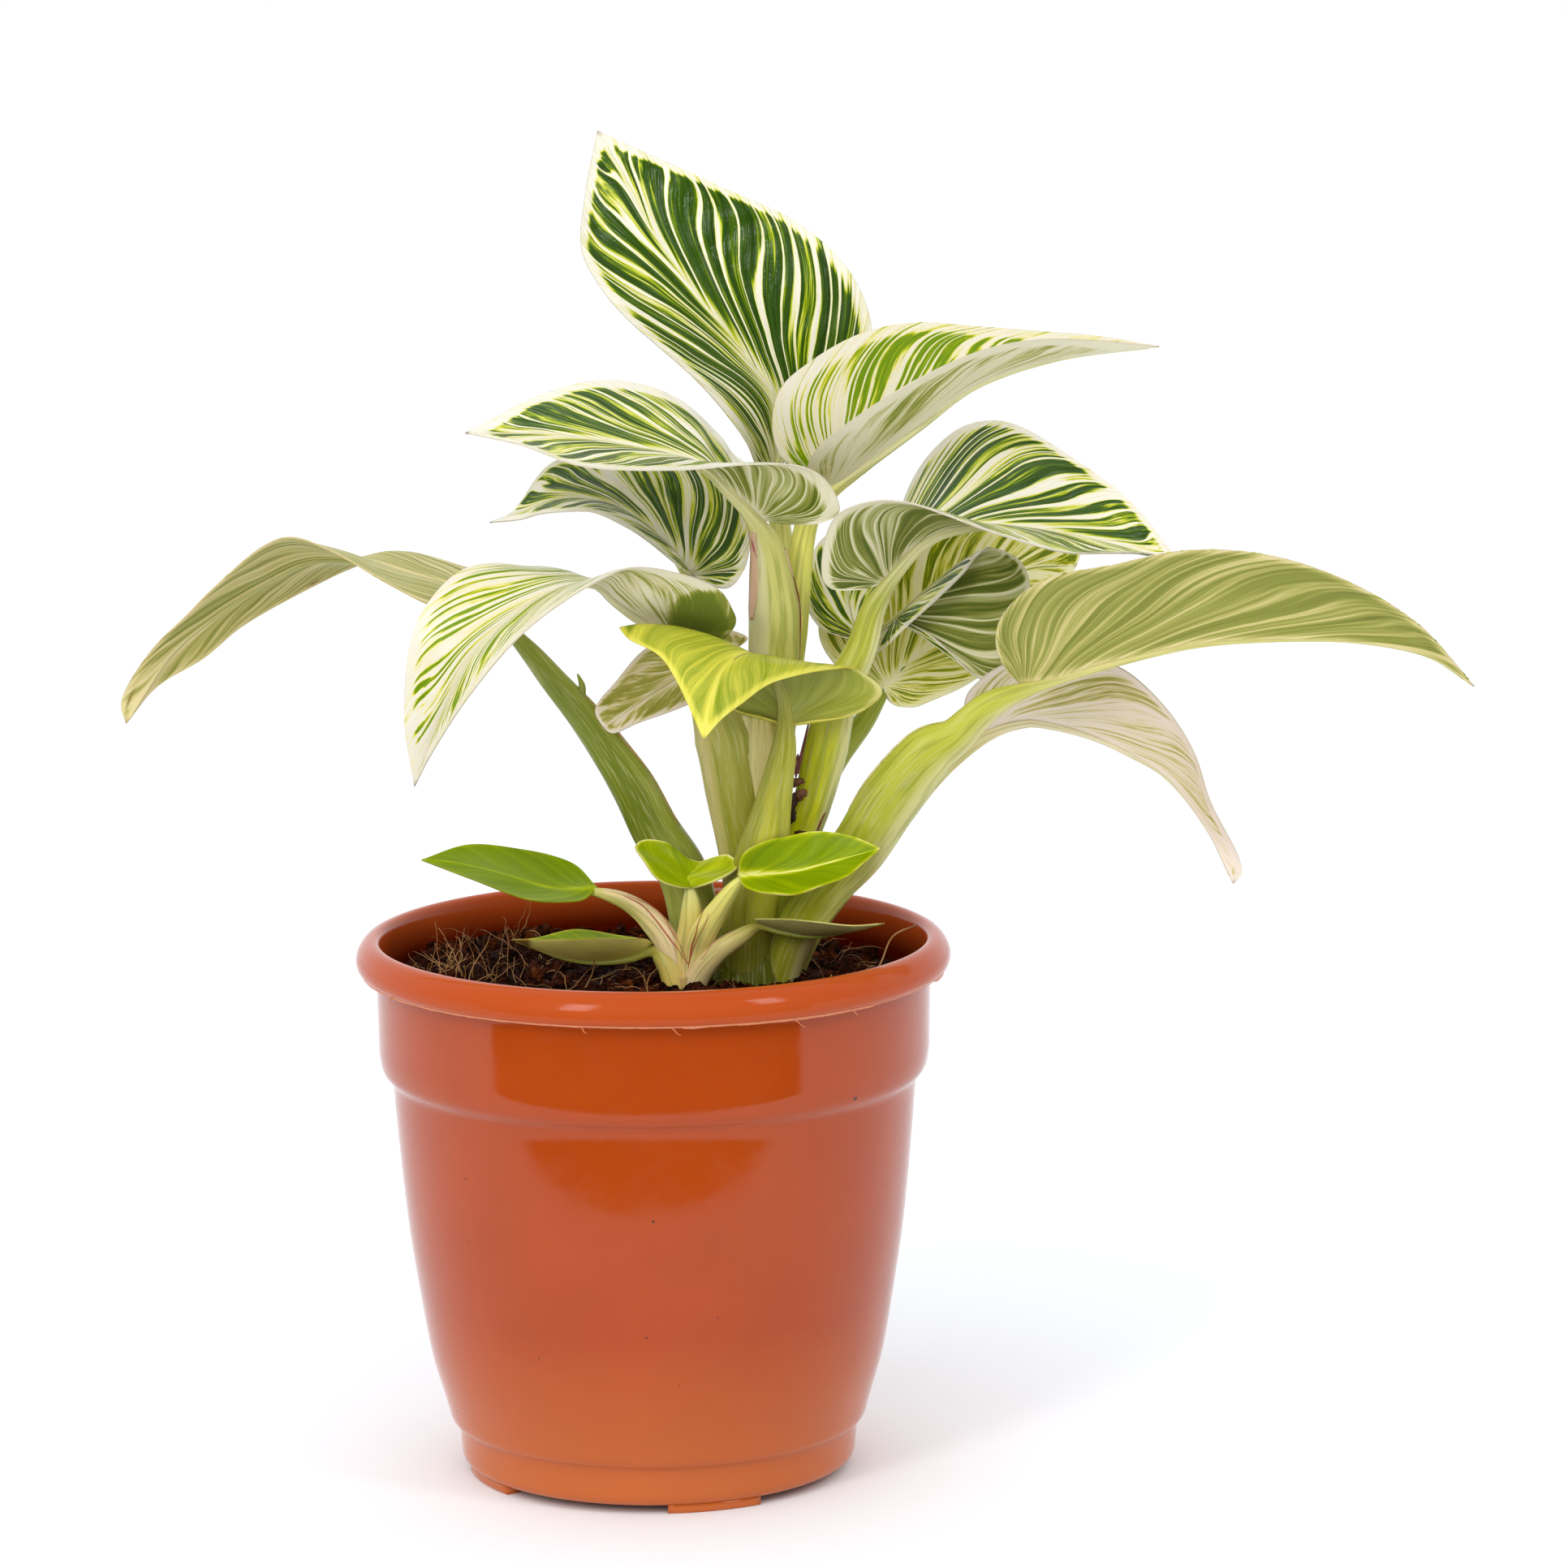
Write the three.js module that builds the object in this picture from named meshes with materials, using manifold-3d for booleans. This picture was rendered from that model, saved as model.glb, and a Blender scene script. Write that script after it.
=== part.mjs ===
import * as THREE from 'three';
import { mergeVertices } from 'three/addons/utils/BufferGeometryUtils.js';
import Module from 'manifold-3d';

// Young philodendron birkin in its plastic nursery pot. Millimetres, +Z up.
// Lengths below are taken from the pot's axis at the level of the feet, with
// the photographed side facing -Y. The finished group is moved so that the
// origin is the middle of the underside of the whole plant's bounding box.

// Driving dimensions
const AXIS_X = -34;          // the pot's axis in the finished frame
const AXIS_Y = 0;
const POT_SIDES = 36;
const FOOT_HEIGHT = 1.8;       // the tabs that lift the base off the table
const FOOT_ANGLES = [17, 107, 200, 293];  // degrees from the front, towards +X
const FOOT_SWEEP = 29;
const BLADE = 0.8;             // leaf thickness
const SMALL_BLADE = 0.7;
const GAP = 0.3;               // clearance wherever two pieces meet
const STEM_SIDES = 8;
const SOIL_LEVEL = 117;

// Colours read from the photograph
const TERRACOTTA = 0xc4552b;
const SOIL_BROWN = 0x3a2117;
const STEM_GREEN = 0xb4c860;
const PUP_GREEN = 0xc9cf94;
const GREEN_WHITE = 0x6f9150;
const WHITE_LIME = 0xdbe0b2;
const SAGE = 0xa3ad72;
const YELLOW_LIME = 0xb9c93f;
const FRESH_LIME = 0x8fb81f;
const DRY_BROWN = 0x5a3324;

const wasm = await Module();
wasm.setup();

// Solids that can be joined and cut
function toSolid(geometry) {
  const bare = geometry.clone();
  bare.deleteAttribute('normal');
  bare.deleteAttribute('uv');
  const merged = mergeVertices(bare, 1e-4);
  return new wasm.Manifold(new wasm.Mesh({
    numProp: 3,
    vertProperties: new Float32Array(merged.attributes.position.array),
    triVerts: new Uint32Array(merged.index.array),
  }));
}

function toGeometry(solid) {
  const mesh = solid.getMesh();
  const geometry = new THREE.BufferGeometry();
  const step = mesh.numProp;
  const count = mesh.vertProperties.length / step;
  const places = new Float32Array(count * 3);
  for (let i = 0; i < count; i += 1) {
    places[3 * i] = mesh.vertProperties[step * i];
    places[3 * i + 1] = mesh.vertProperties[step * i + 1];
    places[3 * i + 2] = mesh.vertProperties[step * i + 2];
  }
  geometry.setAttribute('position', new THREE.BufferAttribute(places, 3));
  geometry.setIndex(new THREE.BufferAttribute(new Uint32Array(mesh.triVerts), 1));
  return geometry;
}

function fuse(solids) {
  return solids.reduce((whole, next) => whole.add(next));
}

// Slivers that a cut leaves loose are dropped
function largestBody(solid) {
  const bodies = solid.decompose();
  bodies.sort((a, b) => b.volume() - a.volume());
  return bodies[0];
}

function geometryOf(points, faces) {
  const geometry = new THREE.BufferGeometry();
  const flat = points.flatMap((p) => [p.x, p.y, p.z]);
  geometry.setAttribute('position', new THREE.Float32BufferAttribute(flat, 3));
  geometry.setIndex(faces.flat());
  return geometry;
}

const group = new THREE.Group();

function addPiece(name, geometry, color, roughness) {
  geometry.computeVertexNormals();
  geometry.translate(AXIS_X, AXIS_Y, 0);
  const material = new THREE.MeshStandardMaterial({ color, roughness, metalness: 0 });
  const mesh = new THREE.Mesh(geometry, material);
  mesh.name = name;
  group.add(mesh);
}

// Smooth line through hand-placed points
function lineThrough(points) {
  const vectors = points.map((p) => new THREE.Vector3(p[0], p[1], p[2]));
  return new THREE.CatmullRomCurve3(vectors, false, 'centripetal');
}

// Leaf blade: veins leave the rib and sweep out to the left and right margins.
// rib, left and right all start where the stalk meets the blade and end at the
// tip; left is the side on the left when the upper face is seen tip-up.
// spread pushes the margin outwards, for the room that a blade needs around it.
function bladeSurface(leaf, rows, columns, spread) {
  const rib = lineThrough(leaf.rib);
  const points = [];
  const known = new Map();
  const indexOf = (p) => {
    const key = [p.x, p.y, p.z].map((v) => Math.round(v * 100)).join();
    if (!known.has(key)) {
      known.set(key, points.length);
      points.push(p.clone());
    }
    return known.get(key);
  };
  const faces = [];
  const sides = [[leaf.left, 1, leaf.belly[0]], [leaf.right, -1, leaf.belly[1]]];
  for (const [margin, sign, belly] of sides) {
    const edge = lineThrough(margin);
    const grid = [];
    for (let i = 0; i <= rows; i += 1) {
      const t = i / rows;
      const along = Math.pow(Math.max(0, (t - leaf.lobe) / (1 - leaf.lobe)), 1.1);
      const start = rib.getPointAt(along);
      const end = edge.getPointAt(t);
      const forward = rib.getTangentAt(along);
      const chord = end.clone().sub(start);
      const length = chord.length();
      const up = new THREE.Vector3();
      if (length > 1e-6) {
        up.crossVectors(forward, chord).multiplyScalar(sign / length);
        up.divideScalar(Math.max(up.length(), 0.15));
      }
      const grow = Math.min(1, Math.max(0, (t - leaf.lobe / 2) / (leaf.lobe * 1.2)));
      const lead = leaf.lead * grow * Math.sqrt(Math.sin(Math.PI * t) + 1e-9);
      const pull = start.clone().add(end).multiplyScalar(0.5);
      pull.addScaledVector(forward, length * lead);
      pull.addScaledVector(up, length * belly);
      const row = [];
      for (let j = 0; j <= columns; j += 1) {
        const s = j / columns;
        const p = start.clone().multiplyScalar((1 - s) * (1 - s));
        p.addScaledVector(pull, 2 * s * (1 - s)).addScaledVector(end, s * s);
        if (j === columns && length > 1e-6) p.addScaledVector(chord, spread / length);
        row.push(indexOf(p));
      }
      grid.push(row);
    }
    for (let i = 0; i < rows; i += 1) {
      for (let j = 0; j < columns; j += 1) {
        const a = grid[i][j];
        const b = grid[i][j + 1];
        const c = grid[i + 1][j + 1];
        const d = grid[i + 1][j];
        faces.push(...(sign > 0 ? [[a, d, c], [a, c, b]] : [[a, c, d], [a, b, c]]));
      }
    }
  }
  const whole = faces.filter((f) => f[0] !== f[1] && f[1] !== f[2] && f[2] !== f[0]);
  return { points, faces: whole };
}

// Both faces of a blade and the rim between them, as one closed skin
function bladeGeometry(leaf, thickness, rows, columns, spread) {
  const { points, faces } = bladeSurface(leaf, rows, columns, spread);
  const normals = points.map(() => new THREE.Vector3());
  for (const f of faces) {
    const [a, b, c] = f.map((i) => points[i]);
    const n = b.clone().sub(a).cross(c.clone().sub(a));
    f.forEach((i) => normals[i].add(n));
  }
  const half = thickness / 2;
  const upper = points.map((p, i) => p.clone().addScaledVector(normals[i].normalize(), half));
  const lower = points.map((p, i) => p.clone().addScaledVector(normals[i], -half));
  const n = points.length;
  const skin = [];
  const open = new Map();
  for (const [a, b, c] of faces) {
    skin.push([a, b, c], [n + a, n + c, n + b]);
    for (const [s, e] of [[a, b], [b, c], [c, a]]) {
      if (open.has(`${e} ${s}`)) open.delete(`${e} ${s}`);
      else open.set(`${s} ${e}`, [s, e]);
    }
  }
  for (const [s, e] of open.values()) {
    skin.push([s, n + s, n + e], [s, n + e, e]);
  }
  return geometryOf([...upper, ...lower], skin);
}

// Stalk: a tapering tube along hand-placed points, each [x, y, z, radius]
function stalkGeometry(points, flat, extra, steps) {
  const line = lineThrough(points);
  const lengths = [0];
  for (let i = 1; i < points.length; i += 1) {
    const [a, b] = [points[i - 1], points[i]];
    lengths.push(lengths[i - 1] + Math.hypot(b[0] - a[0], b[1] - a[1], b[2] - a[2]));
  }
  const total = lengths[lengths.length - 1];
  const radiusAt = (t) => {
    let i = 1;
    while (i < points.length - 1 && lengths[i] < t * total) i += 1;
    const f = (t * total - lengths[i - 1]) / (lengths[i] - lengths[i - 1]);
    return points[i - 1][3] + (points[i][3] - points[i - 1][3]) * Math.min(1, Math.max(0, f));
  };
  const rings = [];
  for (let i = 0; i <= steps; i += 1) {
    const t = i / steps;
    const centre = line.getPointAt(t);
    const along = line.getTangentAt(t);
    const across = new THREE.Vector3().crossVectors(along, new THREE.Vector3(0, 1, 0)).normalize();
    const depth = new THREE.Vector3().crossVectors(along, across);
    const r = radiusAt(t);
    for (let j = 0; j < STEM_SIDES; j += 1) {
      const angle = 2 * Math.PI * (j + 0.5) / STEM_SIDES;
      const p = centre.clone().addScaledVector(across, (r + extra) * Math.cos(angle));
      rings.push(p.addScaledVector(depth, (r * flat + extra) * Math.sin(angle)));
    }
  }
  const faces = [];
  for (let i = 0; i < steps; i += 1) {
    for (let j = 0; j < STEM_SIDES; j += 1) {
      const a = i * STEM_SIDES + j;
      const b = i * STEM_SIDES + (j + 1) % STEM_SIDES;
      faces.push([a, b, b + STEM_SIDES], [a, b + STEM_SIDES, a + STEM_SIDES]);
    }
  }
  const last = steps * STEM_SIDES;
  for (let j = 1; j < STEM_SIDES - 1; j += 1) {
    faces.push([0, j + 1, j], [last, last + j, last + j + 1]);
  }
  return geometryOf(rings, faces);
}

// Pot: one turned wall with a rolled rim, a collar, a foot ring and four tabs
const POT_PROFILE = [
  [0, 3.6], [38.4, 3.6], [40, FOOT_HEIGHT], [44, FOOT_HEIGHT], [46, 2.8], [46.9, 4.8],
  [47.4, 11.6], [49, 13.2], [51.2, 20], [53.6, 28], [56.7, 46], [60.2, 77], [61.9, 94.8],
  [64.2, 97.6], [65, 101], [65.2, 119.6], [68.9, 120.7], [70, 123], [69.2, 125.6],
  [67.4, 127.6], [65.6, 128.3], [64.2, 127.6], [63.2, 119], [62.6, 104], [60.4, 97.5],
  [58.3, 76], [54.6, 45], [51.4, 28], [46.4, 13], [44.6, 6], [0, 6],
];

function footTab(angle) {
  const shape = new THREE.Shape();
  const steps = 5;
  const point = (r, i) => {
    const a = THREE.MathUtils.degToRad(angle - 90 + FOOT_SWEEP * (i / steps - 0.5));
    return new THREE.Vector2(r * Math.cos(a), r * Math.sin(a));
  };
  const outline = [];
  for (let i = 0; i <= steps; i += 1) outline.push(point(45, i));
  for (let i = steps; i >= 0; i -= 1) outline.push(point(40.6, i));
  shape.setFromPoints(outline);
  return new THREE.ExtrudeGeometry(shape, { depth: FOOT_HEIGHT + 0.8, bevelEnabled: false });
}

function turned(profile, sides) {
  const line = profile.map(([r, z]) => new THREE.Vector2(r, z));
  return new THREE.LatheGeometry(line, sides).rotateX(Math.PI / 2);
}

// Leaves, all in whole millimetres from the pot's axis
const BIG_LEAVES = {
  leaf_top_upright: {
    rib: [[30, 22, 233], [31, 26, 250], [24, 28, 261], [12, 31, 276], [2, 34, 290], [-4, 37, 302],
      [-11, 40, 314]],
    left: [[30, 22, 233], [27, 19, 233], [25, 16, 238], [23, 14, 243], [13, 14, 256], [-5, 20, 272],
      [-11, 24, 279], [-15, 27, 287], [-14, 32, 300], [-11, 40, 314]],
    right: [[30, 22, 233], [36, 18, 232], [41, 16, 237], [48, 17, 251], [53, 19, 266],
      [49, 23, 280], [37, 29, 292], [18, 34, 301], [0, 38, 309], [-11, 40, 314]],
    lobe: 0.1, lead: 0.3, belly: [-0.06, -0.06], color: GREEN_WHITE,
  },
  leaf_top_right: {
    rib: [[40, 4, 233], [45, 3, 235], [50, 2, 239], [63, 2, 248], [76, 2, 257], [95, 2, 263],
      [119, 0, 266]],
    left: [[40, 4, 233], [36, 4, 237], [31, 2, 241], [29, 1, 249], [31, 1, 257], [38, 3, 263],
      [50, 7, 269], [63, 10, 271], [76, 11, 270], [91, 8, 269], [106, 4, 268], [119, 0, 266]],
    right: [[40, 4, 233], [37, -4, 238], [39, -10, 244], [48, -15, 252], [62, -18, 261],
      [76, -16, 267], [89, -11, 269], [104, -4, 268], [119, 0, 266]],
    lobe: 0.1, lead: 0.2, belly: [-0.08, 0.02], color: WHITE_LIME,
  },
  leaf_upper_left: {
    rib: [[27, -4, 227], [23, -5, 231], [19, -7, 235], [14, -8, 240], [6, -8, 243],
      [-3, -8, 245], [-20, -9, 248], [-42, -12, 249]],
    left: [[27, -4, 227], [33, -8, 227], [39, -12, 227], [44, -15, 230], [41, -20, 238],
      [35, -24, 242], [24, -27, 243], [7, -28, 242], [-15, -27, 243], [-29, -20, 247],
      [-42, -12, 249]],
    right: [[27, -4, 227], [29, 0, 232], [26, 3, 237], [20, 6, 241], [17, 8, 245],
      [6, 13, 254], [-9, 12, 258], [-24, 4, 256], [-39, -9, 250], [-42, -12, 249]],
    lobe: 0.14, lead: 0.2, belly: [-0.08, -0.02], color: GREEN_WHITE,
  },
  leaf_upper_left_rear: {
    rib: [[10, 8, 212], [7, 8, 217], [3, 8, 221], [-3, 7, 226], [-11, 6, 230],
      [-21, 5, 231], [-30, 4, 228], [-37, 3, 226]],
    left: [[10, 8, 212], [7, 3, 215], [0, -4, 222], [-5, -8, 226], [-13, -10, 230],
      [-19, -9, 230], [-25, -5, 229], [-30, 0, 227], [-37, 3, 226]],
    right: [[10, 8, 212], [18, 9, 209], [22, 13, 212], [24, 20, 220], [22, 25, 229],
      [14, 28, 236], [4, 28, 240], [-7, 25, 241], [-23, 15, 238], [-32, 5, 228], [-37, 3, 226]],
    lobe: 0.14, lead: 0.2, belly: [0.12, -0.05], color: GREEN_WHITE,
  },
  leaf_far_left: {
    rib: [[-31, 6, 200], [-38, 8, 206], [-46, 10, 210], [-57, 12, 213], [-68, 13, 216],
      [-79, 13, 216], [-90, 12, 211], [-101, 10, 204], [-112, 8, 195], [-123, 5, 179]],
    left: [[-31, 6, 200], [-38, -2, 202], [-45, -8, 206], [-53, -12, 210], [-62, -12, 215],
      [-73, -8, 221], [-83, -4, 224], [-89, -2, 222], [-100, 0, 213], [-108, 2, 205],
      [-117, 3, 196], [-124, 5, 184], [-123, 5, 179]],
    right: [[-31, 6, 200], [-31, 18, 205], [-38, 26, 210], [-45, 30, 212], [-59, 33, 215],
      [-70, 29, 212], [-80, 24, 208], [-96, 17, 200], [-105, 14, 193], [-116, 9, 187],
      [-123, 5, 179]],
    lobe: 0.08, lead: 0.25, belly: [0.04, 0.04], color: SAGE,
  },
  leaf_mid_left: {
    rib: [[9, -4, 199], [4, -6, 201], [-2, -8, 205], [-8, -11, 210], [-12, -14, 214],
      [-19, -17, 214], [-31, -19, 208], [-41, -20, 199], [-48, -19, 185], [-55, -16, 167]],
    left: [[9, -4, 199], [16, -7, 199], [20, -12, 204], [19, -15, 208], [16, -20, 213],
      [9, -25, 217], [-4, -31, 220], [-12, -32, 217], [-28, -31, 206], [-41, -28, 191],
      [-51, -20, 175], [-55, -16, 167]],
    right: [[9, -4, 199], [7, 4, 203], [1, 8, 207], [-6, 8, 210], [-12, 5, 212],
      [-27, -3, 216], [-37, -8, 218], [-45, -12, 216], [-54, -17, 205], [-57, -18, 184],
      [-55, -16, 167]],
    lobe: 0.14, lead: 0.2, belly: [-0.05, 0.05], color: WHITE_LIME,
  },
  leaf_front_lime: {
    rib: [[32, -13, 180], [31, -11, 186], [28, -14, 193], [23, -20, 198], [18, -28, 197],
      [14, -37, 191], [12, -43, 182]],
    left: [[32, -13, 180], [37, -14, 181], [46, -13, 182], [51, -11, 184], [54, -7, 187],
      [48, -7, 192], [42, -13, 193], [34, -21, 193], [27, -28, 192], [21, -35, 189],
      [16, -40, 186], [12, -43, 182]],
    right: [[32, -13, 180], [25, -12, 182], [20, -10, 183], [11, -8, 188], [2, -9, 197],
      [-5, -13, 202], [-7, -17, 204], [-5, -21, 202], [2, -27, 199], [6, -33, 194],
      [12, -43, 182]],
    lobe: 0.22, lead: 0.15, belly: [0.12, 0.14], color: YELLOW_LIME,
  },
  leaf_inner_left: {
    rib: [[20, 7, 195], [13, 6, 193], [5, 4, 188], [-3, 1, 183], [-11, -3, 178]],
    left: [[20, 7, 195], [23, 9, 197], [18, 10, 199], [8, 10, 198], [-1, 8, 195],
      [-8, 4, 188], [-13, -1, 182], [-11, -3, 178]],
    right: [[20, 7, 195], [21, 5, 191], [16, 3, 186], [7, 1, 182], [-3, -2, 179],
      [-9, -4, 177], [-11, -3, 178]],
    lobe: 0.12, lead: 0.2, belly: [-0.05, -0.05], color: WHITE_LIME,
  },
  leaf_upper_right: {
    rib: [[54, 2, 211], [57, 2, 214], [60, 2, 218], [66, 2, 222], [74, 3, 224],
      [83, 4, 224], [101, 5, 221], [124, 2, 215]],
    left: [[54, 2, 211], [58, 8, 213], [59, 14, 220], [60, 20, 227], [66, 27, 237],
      [75, 30, 244], [85, 29, 245], [102, 22, 236], [114, 14, 227], [124, 2, 215]],
    right: [[54, 2, 211], [49, -2, 210], [42, -6, 211], [40, -9, 215], [43, -16, 229],
      [51, -19, 233], [59, -20, 233], [68, -20, 230], [78, -19, 226], [96, -14, 220],
      [106, -9, 219], [116, -3, 218], [124, 2, 215]],
    lobe: 0.14, lead: 0.22, belly: [-0.04, -0.06], color: GREEN_WHITE,
  },
  leaf_inner_right: {
    rib: [[50, 12, 196], [48, 13, 200], [47, 15, 207], [49, 18, 212], [58, 26, 220]],
    left: [[50, 12, 196], [44, 12, 197], [40, 12, 199], [37, 13, 204], [38, 19, 214],
      [42, 24, 219], [50, 27, 221], [58, 26, 220]],
    right: [[50, 12, 196], [53, 11, 197], [55, 12, 202], [56, 15, 209], [59, 21, 217],
      [58, 26, 220]],
    lobe: 0.14, lead: 0.2, belly: [-0.05, -0.05], color: GREEN_WHITE,
  },
  leaf_mid_right: {
    rib: [[58, 12, 201], [62, 13, 205], [67, 14, 209], [74, 16, 214], [80, 17, 217]],
    left: [[58, 12, 201], [65, 9, 198], [71, 8, 193], [78, 7, 187], [84, 9, 189], [87, 13, 197],
      [90, 16, 206], [88, 16, 213], [84, 16, 216], [80, 17, 217]],
    right: [[58, 12, 201], [54, 10, 197], [52, 9, 193], [55, 6, 195], [60, 5, 200], [67, 6, 206],
      [74, 10, 212], [77, 14, 215], [80, 17, 217]],
    lobe: 0.4, lead: 0.12, belly: [0.03, 0.02], color: SAGE,
  },
  leaf_rear_right: {
    rib: [[55, 14, 184], [60, 20, 188], [67, 26, 193], [77, 36, 200], [90, 46, 207],
      [103, 52, 207]],
    left: [[55, 14, 184], [49, 14, 185], [44, 16, 189], [40, 21, 196], [43, 27, 208],
      [52, 33, 216], [64, 38, 220], [78, 44, 220], [92, 49, 218], [104, 53, 211],
      [103, 52, 207]],
    right: [[55, 14, 184], [57, 15, 180], [62, 16, 179], [67, 20, 180], [76, 26, 183],
      [87, 35, 190], [97, 44, 199], [103, 52, 207]],
    lobe: 0.12, lead: 0.2, belly: [-0.05, -0.05], color: WHITE_LIME,
  },
  leaf_far_right: {
    rib: [[86, -12, 189], [93, -14, 190], [98, -15, 192], [112, -17, 196], [127, -18, 199],
      [146, -19, 200], [165, -19, 199], [181, -18, 195], [191, -17, 188]],
    left: [[86, -12, 189], [85, -3, 196], [93, 6, 201], [105, 9, 204], [120, 10, 208],
      [137, 8, 209], [152, 3, 207], [167, -4, 203], [179, -11, 196], [191, -17, 188]],
    right: [[86, -12, 189], [83, -14, 192], [80, -18, 199], [81, -21, 206], [90, -25, 215],
      [107, -27, 219], [121, -28, 222], [135, -28, 222], [149, -27, 219], [165, -25, 212],
      [178, -22, 203], [187, -19, 193], [191, -17, 188]],
    lobe: 0.1, lead: 0.25, belly: [-0.03, 0.08], color: SAGE,
  },
  leaf_low_right: {
    rib: [[77, 8, 174], [86, 8, 177], [95, 8, 176], [105, 7, 173], [113, 6, 169],
      [121, 5, 164], [131, 4, 151], [137, 3, 138]],
    left: [[77, 8, 174], [80, 20, 176], [91, 28, 179], [104, 28, 177], [115, 24, 171],
      [125, 18, 164], [135, 5, 145], [137, 3, 138]],
    right: [[77, 8, 174], [74, 4, 179], [74, 1, 184], [77, -1, 188], [83, -2, 192],
      [102, -3, 193], [110, -4, 191], [120, -4, 182], [127, -3, 171], [131, -1, 159],
      [139, 3, 141], [137, 3, 138]],
    lobe: 0.1, lead: 0.2, belly: [-0.03, 0.1], color: WHITE_LIME,
  },
};

const SMALL_LEAVES = {
  pup_leaf_left: {
    rib: [[-13, -2, 140], [-23, -3, 140], [-35, -5, 144], [-46, -6, 147], [-54, -7, 148]],
    left: [[-13, -2, 140], [-16, -6, 138], [-21, -9, 138], [-29, -11, 139], [-42, -11, 144],
      [-54, -7, 148]],
    right: [[-13, -2, 140], [-18, 5, 144], [-23, 6, 146], [-31, 5, 148], [-43, 1, 150],
      [-54, -7, 148]],
    lobe: 0.03, lead: 0.2, belly: [-0.1, -0.1], color: FRESH_LIME,
  },
  pup_leaf_middle: {
    rib: [[9, -9, 141], [8, -5, 142], [9, 1, 143], [9, 11, 143]],
    left: [[9, -9, 141], [5, -12, 141], [2, -13, 143], [-1, -12, 147], [-4, -7, 150],
      [-4, -1, 151], [3, 7, 149], [9, 11, 143]],
    right: [[9, -9, 141], [12, -10, 142], [17, -8, 143], [19, -3, 145], [19, 2, 145],
      [9, 11, 143]],
    lobe: 0.08, lead: 0.1, belly: [-0.05, -0.12], color: FRESH_LIME,
  },
  pup_leaf_right: {
    rib: [[20, -14, 145], [32, -17, 146], [43, -19, 149], [53, -20, 152]],
    left: [[20, -14, 145], [22, -12, 150], [26, -12, 152], [31, -13, 154], [37, -14, 155],
      [43, -16, 155], [48, -18, 154], [53, -20, 152]],
    right: [[20, -14, 145], [21, -17, 143], [24, -20, 142], [28, -23, 142], [33, -24, 142],
      [39, -24, 144], [45, -23, 146], [49, -22, 149], [53, -20, 152]],
    lobe: 0.04, lead: 0.2, belly: [-0.08, -0.08], color: FRESH_LIME,
  },
  pup_leaf_low_left: {
    rib: [[0, -4, 127], [-4, -6, 125], [-12, -9, 124], [-20, -11, 125], [-33, -13, 130]],
    left: [[0, -4, 127], [-2, -9, 129], [-6, -14, 130], [-12, -18, 131], [-20, -19, 131],
      [-33, -13, 130]],
    right: [[0, -4, 127], [-2, 0, 127], [-8, 5, 127], [-18, 3, 129], [-28, -7, 129],
      [-33, -13, 130]],
    lobe: 0.03, lead: 0.15, belly: [-0.08, -0.12], color: FRESH_LIME,
  },
  pup_leaf_low_right: {
    rib: [[24, -8, 133], [30, -10, 131], [37, -12, 130], [45, -13, 131], [54, -14, 133]],
    left: [[24, -8, 133], [27, -2, 131], [32, 1, 130], [40, 1, 130], [47, -3, 130],
      [54, -14, 133]],
    right: [[24, -8, 133], [24, -12, 134], [32, -18, 135], [39, -22, 135], [46, -21, 134],
      [54, -14, 133]],
    lobe: 0.03, lead: 0.15, belly: [-0.05, -0.1], color: FRESH_LIME,
  },
};

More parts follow.
